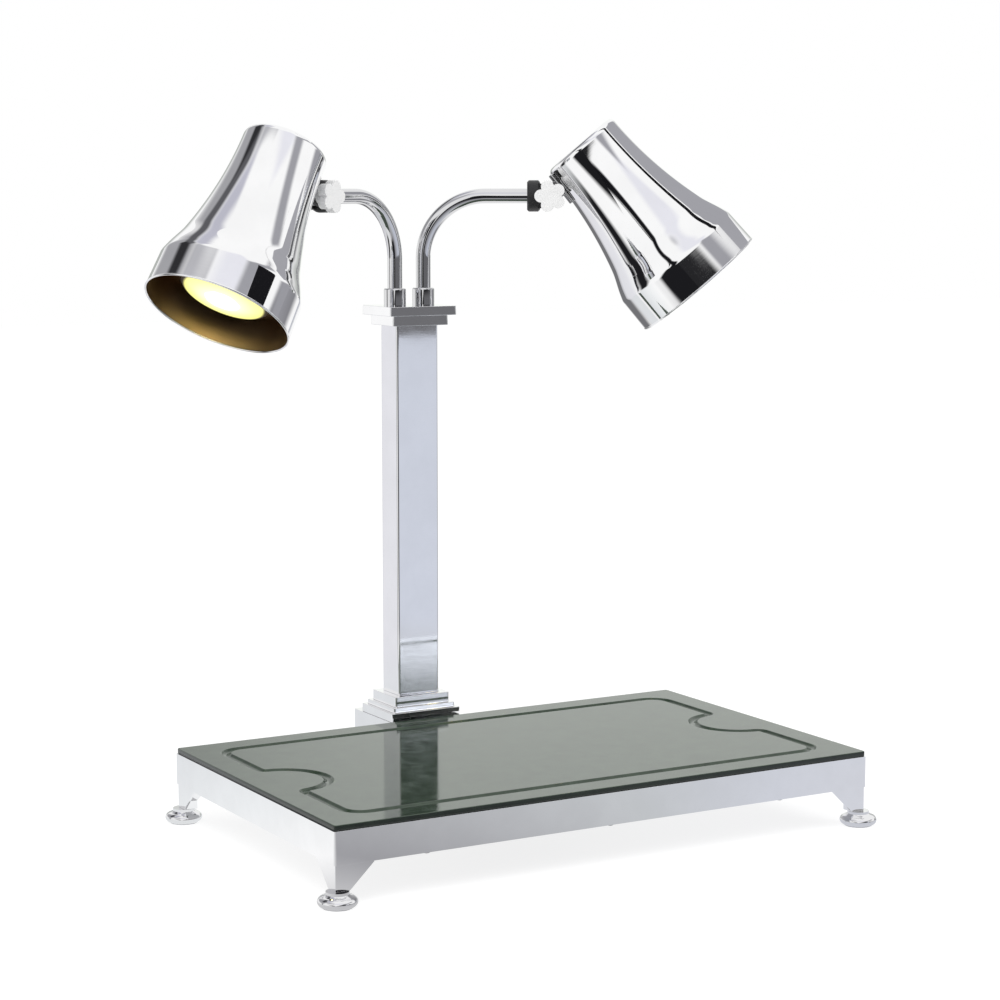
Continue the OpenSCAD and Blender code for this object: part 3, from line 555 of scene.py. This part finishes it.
def repeat_part(name, part, points, finish, nodes):
    """One piece on the base that shows the same part at several points."""
    carrier = bpy.data.objects.new(name + "_part", part)
    scene.collection.objects.link(carrier)
    mesh = grown(repeated, points_mesh(points), {"Part": carrier, "Finish": finish})
    bpy.data.objects.remove(carrier)
    add_piece(name, mesh, "base", nodes)


# The lamps


def bulb_line():
    """The bulb's outline, as (radius, height) from the top of its neck to the middle of its face."""
    steps = 12
    line = [(0, -BULB_TOP), (BULB_NECK_R, -BULB_TOP), (BULB_NECK_R, -BULB_NECK_END)]
    for step in range(1, steps + 1):
        share = step / steps
        line.append((BULB_NECK_R + (BULB_R - BULB_NECK_R) * share ** BULB_FLARE,
                     -BULB_NECK_END - (BULB_SEAT - BULB_NECK_END) * share))
    for step in range(steps + 1):
        turn = math.pi / 2 * step / steps
        line.append((BULB_R * math.cos(turn) if step < steps else 0,
                     -BULB_SEAT - BULB_EDGE - BULB_DOME * math.sin(turn)))
    return line


def make_lamps():
    spun = shade_tree()
    for side in SIDES:
        matrix = head_matrix(side)
        body = side + "_head"
        shade = grown(spun, points_mesh([]), {
            "Top Radius": SHADE_TOP_R, "Bell Radius": SHADE_BELL_R, "Shoulder Radius": SHADE_SHOULDER_R,
            "Rim Radius": SHADE_RIM_R, "Edge Round": SHADE_EDGE, "Bell Length": BELL_LEN,
            "Shoulder Length": SHOULDER_LEN, "Band Length": BAND_LEN, "Swell": SHADE_SWELL,
            "Wall": SHADE_WALL, "Bead Radius": SHADE_BEAD_R, "Segments": 145, "Rows": 170,
            "Outside": spun_chrome[side], "Inside": shade_lining,
        })
        add_piece(body + "_shade", placed(shade, matrix), body, [side + "_lamp_shade"])
        add_piece(body + "_bulb", placed(turned(bulb_line(), 96), matrix), body,
                  [side + "_heat_bulb"], [lit_glass(side)])
        add_piece(body + "_bracket", softened(side + "_shade_bracket", 0.6 * MM), body,
                  [side + "_shade_bracket"], [arm_chrome], even=True)


def make_arms():
    bent = tube_tree()
    for side in SIDES:
        foot = Vector(joints[side + "_arm_swivel"]["pos_m"])
        pivot = Vector(joints[side + "_lamp_tilt"]["pos_m"])
        reach = (pivot - foot).xy.length - TUBE_END
        rise = pivot.z - foot.z
        path = points_mesh([(0, 0, TUBE_FOOT), (0, 0, rise), (reach, 0, rise)], [(0, 1), (1, 2)])
        tube = grown(bent, path, {
            "Radius": TUBE_R, "Bend": TUBE_BEND, "Steps": 40, "Sides": 48, "Finish": arm_chrome,
        })
        body = side + "_arm"
        add_piece(body + "_bent_tube", placed(tube, arm_matrix(side)), body,
                  [side + "_arm_tube"])
        add_piece(body + "_knuckle", softened(side + "_arm_hub", 0.7 * MM), body,
                  [side + "_arm_hub"], [black_plastic], even=True)
        add_piece(body + "_screw", softened(side + "_pivot_screw", 0.5 * MM), body,
                  [side + "_pivot_screw"], [screw_steel], even=True)
        # The star knobs wear the white of a painted highlight in place of their chrome.
        add_piece(side + "_star_knob", softened(side + "_tilt_knob", 1.6 * MM, 4), side + "_knob",
                  [side + "_tilt_knob"], [painted_highlight_knob], even=True)


# The base


def node_centre(name):
    low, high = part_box(name)
    return (low + high) / 2


def make_feet():
    """Turned bun feet with a short neck, and the angle legs that stand on them."""
    belly = 0.37 * FOOT_H
    tuck = 3 * MM
    bulge = FOOT_R - FOOT_SOLE_R + tuck
    flare, flare_low, flare_high = 1 * MM, 3.6 * MM, 2.6 * MM
    line = [(0, 0), (FOOT_SOLE_R, 0)]
    from_sole, to_shoulder, stride = -72, 60, 6
    for degrees in range(from_sole, to_shoulder + 1, stride):
        turn = math.radians(degrees)
        line.append((FOOT_R - bulge + bulge * math.cos(turn), belly + belly * math.sin(turn)))
    line += [(FOOT_NECK_R + flare, FOOT_H - flare_low), (FOOT_NECK_R, FOOT_H - flare_high),
             (FOOT_NECK_R, FOOT_H), (0, FOOT_H)]
    points = [Vector((*node_centre("foot_" + corner).xy, 0)) for corner in FOOT_CORNERS]
    repeat_part("bun_feet", turned(line, 72), points, foot_chrome,
                ["foot_" + corner for corner in FOOT_CORNERS])
    for corner in FOOT_CORNERS:
        add_piece("leg_angle_" + corner, softened("leg_" + corner, 0.5 * MM), "base",
                  ["leg_" + corner], [polished_steel], even=True)


def make_ferrules():
    """Collars with a rounded shoulder and a chamfered mouth, round the feet of the tubes."""
    slip, mouth, mouth_depth = 0.05 * MM, 0.3 * MM, 0.6 * MM
    steps = 6
    line = [(TUBE_R, 0), (FERRULE_R, 0)]
    for step in range(steps + 1):
        turn = math.pi / 2 * step / steps
        line.append((FERRULE_R - FERRULE_ROUND + FERRULE_ROUND * math.cos(turn),
                     FERRULE_H - FERRULE_ROUND + FERRULE_ROUND * math.sin(turn)))
    line += [(TUBE_R + mouth, FERRULE_H), (TUBE_R + slip, FERRULE_H - mouth_depth)]
    points = [joints[side + "_arm_swivel"]["pos_m"] for side in SIDES]
    repeat_part("arm_ferrules", turned(line, 64), points, arm_chrome,
                [side + "_arm_ferrule" for side in SIDES])


def make_screws():
    """Button-head screws with hexagon sockets, seen from below."""
    socket_r, socket_floor, socket_mouth = 1.5 * MM, -1.2 * MM, -2.5 * MM
    shank_r, shank_end = 2 * MM, 6 * MM
    button = [(2.1 * MM, -SCREW_HEAD_H), (3.0 * MM, -2.2 * MM), (3.6 * MM, -1.3 * MM), (3.75 * MM, 0)]
    line = [(0, socket_floor), (socket_r, socket_floor), (socket_r, socket_mouth), *button,
            (shank_r, 0), (shank_r, shank_end), (0, shank_end)]
    screw = turned(line, 24, hexed=(1, 2))
    for name in ("cover_screws", "rear_box_screws"):
        repeat_part(name + "_button", screw.copy(), screw_places(name), screw_steel, [name])


def screw_places(name):
    """The middle of each screw of a CAD node that holds several, on the face that its head meets."""
    bm = bmesh.new()
    bm.from_mesh(frame["nodes"][name].data)
    bmesh.ops.remove_doubles(bm, verts=bm.verts, dist=MERGE_GAP)
    left = set(bm.verts)
    places = []
    while left:
        island = {left.pop()}
        edge = list(island)
        while edge:
            vert = edge.pop()
            for link in vert.link_edges:
                other = link.other_vert(vert)
                if other in left:
                    left.remove(other)
                    island.add(other)
                    edge.append(other)
        xs = [v.co.x for v in island]
        ys = [v.co.y for v in island]
        low = min(v.co.z for v in island)
        places.append(((min(xs) + max(xs)) / 2, (min(ys) + max(ys)) / 2, low + SCREW_HEAD_H))
    bm.free()
    return sorted(places)


def drafted(mesh, lean):
    """Leans a mesh's upright faces inwards as they rise, about its own middle."""
    xs = [v.co.x for v in mesh.vertices]
    ys = [v.co.y for v in mesh.vertices]
    low = min(v.co.z for v in mesh.vertices)
    middle = Vector(((min(xs) + max(xs)) / 2, (min(ys) + max(ys)) / 2))
    for vertex in mesh.vertices:
        inset = (vertex.co.z - low) * math.tan(lean)
        for axis in (0, 1):
            side = vertex.co[axis] - middle[axis]
            vertex.co[axis] -= math.copysign(min(inset, abs(side)), side)
    return mesh


def make_sheet_metal():
    """The rounded sheet pieces of the base and post, and the fittings on the back of the box."""
    for name, node_name, width in (
        ("skirt_frame", "base_frame", 0.6), ("post_sleeve", "post_tube", 0.5),
        ("post_foot", "post_plinth", 0.8), ("switch_box", "rear_box", 0.6),
    ):
        add_piece(name, softened(node_name, width * MM), "base", [node_name],
                  [polished_steel], even=True)
    head = drafted(softened("post_cap", 0.8 * MM), CAP_LEAN)
    add_piece("post_head", head, "base", ["post_cap"], [polished_steel], even=True)
    for name, node_name, width in (
        ("lamp_switch_housing", "lamp_switch", 0.4), ("heat_switch_housing", "heat_switch", 0.4),
        ("cord_entry_gland", "cord_gland", 0.5),
    ):
        add_piece(name, softened(node_name, width * MM), "base", [node_name],
                  [black_plastic], even=True)
    for name in ("lamp_rocker", "heat_rocker"):
        add_piece(name + "_cap", softened(name, 0.4 * MM), name, [name],
                  [rocker_plastic], even=True)


# The carving board


def arc_points(centre, radius, start, end, count):
    turns = [math.radians(start + (end - start) * i / count) for i in range(count + 1)]
    return [(centre[0] + radius * math.cos(turn), centre[1] + radius * math.sin(turn)) for turn in turns]


def groove_loop(half_x, half_y, offset):
    """The groove's line moved outwards by an offset: rounded corners, and a bow at each short end."""
    corner = GROOVE_CORNER + offset
    inner_x, inner_y = half_x - GROOVE_CORNER, half_y - GROOVE_CORNER
    rise = math.sqrt((BOW_R + BOW_FILLET) ** 2 - BOW_FILLET ** 2)
    lean = math.degrees(math.atan2(rise, BOW_FILLET))
    fillet, bow = BOW_FILLET + offset, BOW_R - offset
    corner_steps, fillet_steps, bow_steps = 14, 10, 48
    loop = arc_points((inner_x, -inner_y), corner, -90, 0, corner_steps)
    loop += arc_points((half_x - BOW_FILLET, -rise), fillet, 0, lean, fillet_steps)
    loop += arc_points((half_x, 0), bow, 180 + lean, 180 - lean, bow_steps)[1:-1]
    loop += arc_points((half_x - BOW_FILLET, rise), fillet, -lean, 0, fillet_steps)
    loop += arc_points((inner_x, inner_y), corner, 0, 90, corner_steps)
    loop += arc_points((-inner_x, inner_y), corner, 90, 180, corner_steps)
    loop += arc_points((BOW_FILLET - half_x, rise), fillet, 180, 180 + lean, fillet_steps)
    loop += arc_points((-half_x, 0), bow, lean, -lean, bow_steps)[1:-1]
    loop += arc_points((BOW_FILLET - half_x, -rise), fillet, 180 - lean, 180, fillet_steps)
    loop += arc_points((-inner_x, -inner_y), corner, 180, 270, corner_steps)
    return loop


def rounded_loop(half_x, half_y, radius):
    loop = []
    for sign_x, sign_y, start in ((1, -1, -90), (1, 1, 0), (-1, 1, 90), (-1, -1, 180)):
        centre = (sign_x * (half_x - radius), sign_y * (half_y - radius))
        loop += arc_points(centre, radius, start, start + 90, 6)
    return loop


def make_board():
    """The board: a slab with a round-bottomed groove and eased edges, and a key below it."""
    low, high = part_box("carving_board")
    frame_low, frame_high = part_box("base_frame")
    ledge = frame_high.z
    middle = (low + high) / 2
    half_x, half_y = (high.x - low.x) / 2, (high.y - low.y) / 2
    groove_x, groove_y = half_x - GROOVE_INSET, half_y - GROOVE_INSET
    bm = bmesh.new()

    def ring(loop, z):
        return [bm.verts.new((middle.x + x, middle.y + y, z)) for x, y in loop]

    def strip(first, second):
        for i in range(len(first)):
            j = (i + 1) % len(first)
            bm.faces.new((first[i], first[j], second[j], second[i])).smooth = True

    def edges_of(loop):
        return [bm.edges.get((loop[i], loop[(i + 1) % len(loop)])) for i in range(len(loop))]

    tool_r = (GROOVE_HALF ** 2 + GROOVE_DEPTH ** 2) / (2 * GROOVE_DEPTH)
    lip_out, lip_in, lip_drop, sink = 0.7 * MM, 0.35 * MM, 0.06 * MM, 0.2 * MM
    section = [(GROOVE_HALF + lip_out, 0), (GROOVE_HALF + lip_in, lip_drop)]
    half_steps = 8
    for i in range(2 * half_steps + 1):
        across = GROOVE_HALF * (1 - i / half_steps)
        section.append((across, math.sqrt(tool_r ** 2 - across ** 2) - tool_r + GROOVE_DEPTH + sink))
    section += [(-GROOVE_HALF - lip_in, lip_drop), (-GROOVE_HALF - lip_out, 0)]
    rings = [ring(groove_loop(groove_x, groove_y, offset), high.z - depth) for offset, depth in section]
    for first, second in zip(rings, rings[1:]):
        strip(first, second)
    bm.faces.new(rings[-1])

    sides = []
    for turn in (0, math.pi / 8, math.pi / 4, 3 * math.pi / 8, math.pi / 2):
        inset = BOARD_EASE * (1 - math.sin(turn))
        drop = BOARD_EASE * (1 - math.cos(turn))
        sides.append(ring(rounded_loop(half_x - inset, half_y - inset, BOARD_CORNER), high.z - drop))
    under = BOARD_UNDER_EASE
    sides.append(ring(rounded_loop(half_x, half_y, BOARD_CORNER), ledge + under))
    sides.append(ring(rounded_loop(half_x - under, half_y - under, BOARD_CORNER), ledge))
    for first, second in zip(sides, sides[1:]):
        strip(second, first)
    bm.faces.new(reversed(sides[-1]))
    bmesh.ops.triangle_fill(bm, edges=edges_of(rings[0]) + edges_of(sides[0]), use_beauty=True, normal=UP)

    key_x = frame_high.x - KEY_INSET
    key_y = (frame_high.y - frame_low.y) / 2 - KEY_INSET
    key = [ring(rounded_loop(key_x, key_y, KEY_CORNER), z) for z in (ledge, low.z + under)]
    key.append(ring(rounded_loop(key_x - under, key_y - under, KEY_CORNER), low.z))
    for first, second in zip(key, key[1:]):
        strip(second, first)
    bm.faces.new(reversed(key[-1]))
    bmesh.ops.recalc_face_normals(bm, faces=bm.faces)
    # Faces that face up keep the stone; the rest take its darker copy, which is painted shade.
    painted_shade_rise = 0.3
    for face in bm.faces:
        face.material_index = 0 if face.normal.z > painted_shade_rise else 1
    mesh = bpy.data.meshes.new("board")
    bm.to_mesh(mesh)
    bm.free()
    add_piece("grooved_board", mesh, "board", ["carving_board"], [board_face, board_side_painted_shade])


# Finishes of the CAD nodes that show as they are


def dress_nodes():
    finishes = {
        "heat_spreader": aluminium, "heating_element": heater_sheath, "thermostat": ceramic,
        "insulation_pad": insulation, "bottom_cover": cover_steel, "foot_screws": screw_steel,
        "rear_box_cover": cover_steel, "terminal_block": ceramic, "gland_nut": black_plastic,
        "tie_rod": screw_steel, "tie_rod_nut": screw_steel,
    }
    for side in SIDES:
        finishes[side + "_post_lead"] = lead_rubber
        finishes[side + "_arm_lead"] = lead_rubber
        finishes[side + "_lamp_socket"] = ceramic
    for name, finish in finishes.items():
        place = frame["nodes"][name].material_slots[0]
        place.link = "OBJECT"
        place.material = finish


# The studio


def window(tree, value, low, high, soft):
    """One inside a range of values, falling softly to nothing at both ends."""
    rising = map_range(tree, value, low - soft, low + soft, 0.0, 1.0, True)
    falling = map_range(tree, value, high - soft, high + soft, 1.0, 0.0, True)
    return math_node(tree, "MULTIPLY", rising, falling)


def angle_around(tree, place):
    """The angle about the part of a place or a direction: 0 in front, and falling to the left."""
    ahead = math_node(tree, "MULTIPLY", place.outputs["Y"], -1.0)
    return math_node(tree, "ARCTAN2", place.outputs["X"], ahead)


def tones_around(tree, turn, tones):
    """A ramp of (degrees, colour) round the part, from the back round by the left."""
    around = map_range(tree, turn, -math.pi, math.pi, 0.0, 1.0)
    return ramp(tree, around, [(degrees / 360 + 0.5, colour) for degrees, colour in tones])


def by_ray(tree, plain, camera, mirrored):
    """Shows one shader to the camera, one to mirror and glass rays, and a plain one to the rest."""
    rays = node(tree, "ShaderNodeLightPath").outputs
    in_mirror = math_node(tree, "MAXIMUM", rays["Is Glossy Ray"], rays["Is Transmission Ray"])
    direct = node(tree, "ShaderNodeMixShader", {
        0: rays["Is Camera Ray"], 1: plain.outputs[0], 2: camera.outputs[0],
    })
    return node(tree, "ShaderNodeMixShader", {0: in_mirror, 1: direct.outputs[0], 2: mirrored.outputs[0]})


def make_floor():
    """A pale floor: white to the camera but for its soft shadow, and toned where the chrome mirrors it."""
    mesh = bpy.data.meshes.new("floor")
    left, right, front, back = -9.0, 9.0, -7.2, 9.0
    near_end, far_start = 0.6, 0.95
    mesh.from_pydata([(left, front, 0), (right, front, 0), (right, back, 0), (left, back, 0)], [],
                     [(0, 1, 2, 3)])
    material = bpy.data.materials.new("pale floor")
    material.use_nodes = True
    tree = material.node_tree
    tree.nodes.clear()
    coords = object_coords(tree)
    turn = angle_around(tree, node(tree, "ShaderNodeSeparateXYZ", {0: coords}))
    reach = node(tree, "ShaderNodeVectorMath", {0: coords}, operation="LENGTH").outputs["Value"]
    white, shade, dark = (1, 1, 1), (0.18, 0.18, 0.19), (0.012, 0.012, 0.014)
    near = tones_around(tree, turn, (
        (-140, (0.76, 0.78, 0.80)), (-112, (0.88, 0.90, 0.91)), (-80, white), (-28, (0.36, 0.36, 0.38)),
        (0, (0.49, 0.50, 0.52)), (19, (0.57, 0.59, 0.61)), (38, (0.64, 0.66, 0.72)),
        (60, (0.72, 0.73, 0.78)), (85, white),
    ))
    far = tones_around(tree, turn, (
        (-180, (0.45, 0.45, 0.47)), (-172, (0.78, 0.78, 0.82)), (-150, (0.82, 0.82, 0.86)),
        (-132, white), (-122, dark), (-108, dark), (-98, white), (-66, white), (-58, dark), (-28, dark),
        (-12, (0.33, 0.33, 0.36)), (0, (0.44, 0.45, 0.49)), (24, (0.63, 0.665, 0.75)),
        (40, (0.65, 0.68, 0.77)), (58, (0.60, 0.62, 0.68)), (68, (0.34, 0.34, 0.37)),
        (100, (0.25, 0.25, 0.27)), (114, white), (150, white), (158, shade), (172, shade),
    ))
    tone = mix_colour(tree, map_range(tree, reach, near_end, far_start, 0.0, 1.0, True), near, far)
    paper = node(tree, "ShaderNodeBsdfDiffuse", {"Color": (0.86, 0.86, 0.86, 1)})
    shadowed = node(tree, "ShaderNodeBsdfDiffuse", {"Color": (0.36, 0.36, 0.36, 1)})
    lift = node(tree, "ShaderNodeEmission", {"Color": (1, 1, 1, 1), "Strength": 0.78})
    pale = node(tree, "ShaderNodeAddShader", {0: shadowed.outputs[0], 1: lift.outputs[0]})
    toned = node(tree, "ShaderNodeEmission", {"Color": tone, "Strength": 1.0})
    output = node(tree, "ShaderNodeOutputMaterial")
    tree.links.new(by_ray(tree, paper, pale, toned).outputs[0], output.inputs["Surface"])
    mesh.materials.append(material)
    floor = bpy.data.objects.new("floor", mesh)
    scene.collection.objects.link(floor)


def make_world():
    """A white surround, with a dark room and grey patches that only the mirrors and glass show."""
    world = bpy.data.worlds.new("studio")
    scene.world = world
    world.use_nodes = True
    tree = world.node_tree
    tree.nodes.clear()
    direction = node(tree, "ShaderNodeTexCoord").outputs["Generated"]
    place = node(tree, "ShaderNodeSeparateXYZ", {0: direction})
    turn = angle_around(tree, place)
    height = math_node(tree, "ARCSINE", place.outputs["Z"])

    def patch(turn_from, turn_to, low, high, soft):
        """A soft patch of sky, from one angle about the part to another and between two heights."""
        sideways = window(tree, turn, math.radians(turn_from), math.radians(turn_to), math.radians(soft))
        upright = window(tree, height, math.radians(low), math.radians(high), math.radians(soft * 0.6))
        return product(tree, sideways, upright)

    def below(rise, level, soft=3.0):
        """The sky under a sloping line, which is at the given level straight ahead."""
        line = math_node(tree, "SUBTRACT", height, math_node(tree, "MULTIPLY", turn, rise))
        return map_range(tree, line, math.radians(level - soft), math.radians(level + soft), 1.0, 0.0, True)

    room = product(tree, below(0.7, 24.0, 1.5), below(-0.5, 34.0), below(0.2, 22.5),
                   patch(-60, 68, -30, 40, 4))
    bend = 3.4
    bent = math_node(tree, "MULTIPLY", math_node(tree, "POWER", height, 2.0), bend)
    bent = math_node(tree, "ADD", turn, bent)
    curtain = window(tree, bent, math.radians(-54), math.radians(-39), math.radians(3))
    curtain = product(tree, curtain, patch(-100, -30, -14, 25, 4))
    colour = (1, 1, 1)
    for shade, area in (
        # Behind, low, with a bright pane: what the board mirrors
        ((0.46, 0.48, 0.46), patch(112, 400, -20, 16, 12)),
        ((0.98, 1.0, 0.97), patch(136, 156, -20, 20, 4)),
        # High up, from the back on the left round to the front
        ((0.53, 0.53, 0.61), patch(-190, -104, 58, 76, 10)),
        ((0.50, 0.50, 0.53), patch(-112, -48, 40, 59, 6)),
        ((0.84, 0.84, 0.90), patch(-48, 14, 34, 56, 8)),
        # Half way up, at the back on the left and in front on the right
        ((0.38, 0.38, 0.40), patch(-178, -112, 14, 56, 10)),
        ((0.36, 0.36, 0.39), patch(6, 75, 26, 38, 5)),
        # Low on the right
        ((0.34, 0.34, 0.37), patch(60, 104, -20, 5, 4)),
        ((0.14, 0.14, 0.15), patch(89, 107, -20, 15, 5)),
        # Darker, at the back on the left
        ((0.11, 0.11, 0.12), patch(-190, -124, 45, 57, 5)),
        ((0.03, 0.03, 0.033), patch(-149, -124, 36, 48, 5)),
        # The dark room in front, with a bright strip that lights the board's image in the post
        ((0.02, 0.02, 0.022), room),
        ((0.07, 0.07, 0.08), patch(22, 42, 3, 12, 3)),
        ((2.6, 2.7, 3.0), patch(20, 37, 8.6, 11.1, 0.8)),
        ((0.16, 0.16, 0.17), patch(-22, 66, -20, 3, 4)),
        # Black curtains on the left
        ((0.008, 0.008, 0.01), curtain),
        ((0.012, 0.010, 0.010), patch(-124, -113, -14, 12, 3)),
    ):
        colour = mix_colour(tree, area, colour, shade)
    mirrored = node(tree, "ShaderNodeBackground", {"Color": colour, "Strength": 1.0})
    white = node(tree, "ShaderNodeBackground", {"Color": (1, 1, 1, 1), "Strength": 1.0})
    ambient = node(tree, "ShaderNodeBackground", {"Color": (1, 1, 1, 1), "Strength": 0.70})
    output = node(tree, "ShaderNodeOutputWorld")
    tree.links.new(by_ray(tree, ambient, white, mirrored).outputs[0], output.inputs["Surface"])


def make_card(name, corners, shade):
    """A flat card beside the part, seen only in the chrome."""
    mesh = bpy.data.meshes.new(name)
    mesh.from_pydata(corners, [], [(0, 1, 2, 3)])
    material = bpy.data.materials.new(name)
    material.use_nodes = True
    tree = material.node_tree
    tree.nodes.clear()
    glow = node(tree, "ShaderNodeEmission", {"Color": (*shade, 1), "Strength": 1.0})
    output = node(tree, "ShaderNodeOutputMaterial")
    tree.links.new(glow.outputs[0], output.inputs["Surface"])
    mesh.materials.append(material)
    card = bpy.data.objects.new(name, mesh)
    card.visible_camera = False
    card.visible_diffuse = False
    card.visible_transmission = False
    card.visible_shadow = False
    scene.collection.objects.link(card)


def make_cards():
    """A black bar over the right lamp, a black card before the left one, and a grey card on the right."""
    black, grey = (0.01, 0.01, 0.012), (0.38, 0.38, 0.41)

    def strip(name, start, end, half):
        make_card(name, [start - half, start + half, end + half, end - half], black)

    # The bar lies edge on to the left lamp, which doesn't show it
    start, end = Vector((0.707, -0.316, 1.103)), Vector((0.22, 0.05, 1.42))
    left_lamp = Vector((-0.235, 0.025, 0.60))
    along = (end - start).normalized()
    sight = (start + end) / 2 - left_lamp
    strip("black bar", start, end, (sight - along * sight.dot(along)).normalized() * 0.157)

    # The black card faces the rim band of the left lamp
    start, end = Vector((-0.168, -0.195, 0.677)), Vector((-0.056, -0.147, 0.603))
    left_band = Vector((-0.262, 0.0, 0.559))
    strip("black card", start, end, (end - start).cross(left_band - start).normalized() * 0.04)
    make_card("grey card", [(0.64, -0.165, 0.76), (0.60, 0.38, 0.76), (0.394, 0.207, 1.06),
                            (0.423, -0.067, 1.06)], grey)


def make_lights():
    aim = Vector((0, 0, 0.25))
    for name, spot, size, power in (
        ("soft box left", (-1.6, -1.4, 2.2), 1.6, 26.0), ("soft box right", (1.8, -0.9, 2.0), 1.4, 14.0),
    ):
        data = bpy.data.lights.new(name, "AREA")
        data.size = size
        data.energy = power
        light = bpy.data.objects.new(name, data)
        light.location = spot
        light.rotation_euler = (aim - light.location).to_track_quat("-Z", "Y").to_euler()
        light.visible_glossy = False
        light.visible_camera = False
        scene.collection.objects.link(light)


def make_camera():
    """The camera that was fitted to the base's edges and the post's uprights in the photograph."""
    data = bpy.data.cameras.new("camera")
    data.sensor_width = 36.0
    data.lens = 90.17
    data.clip_start = 0.05
    camera = bpy.data.objects.new("camera", data)
    camera.location = (-1.2854, node_centre("carving_board").y - 2.1832, 0.6545)
    looking = Vector((0.4963, 0.8591, -0.1243))
    camera.rotation_euler = looking.to_track_quat("-Z", "Y").to_euler()
    scene.collection.objects.link(camera)
    scene.camera = camera


make_camera()
make_lamps()
make_arms()
make_feet()
make_ferrules()
make_screws()
make_sheet_metal()
make_board()
dress_nodes()
make_floor()
make_world()
make_cards()
make_lights()
scene.view_settings.view_transform = "Standard"
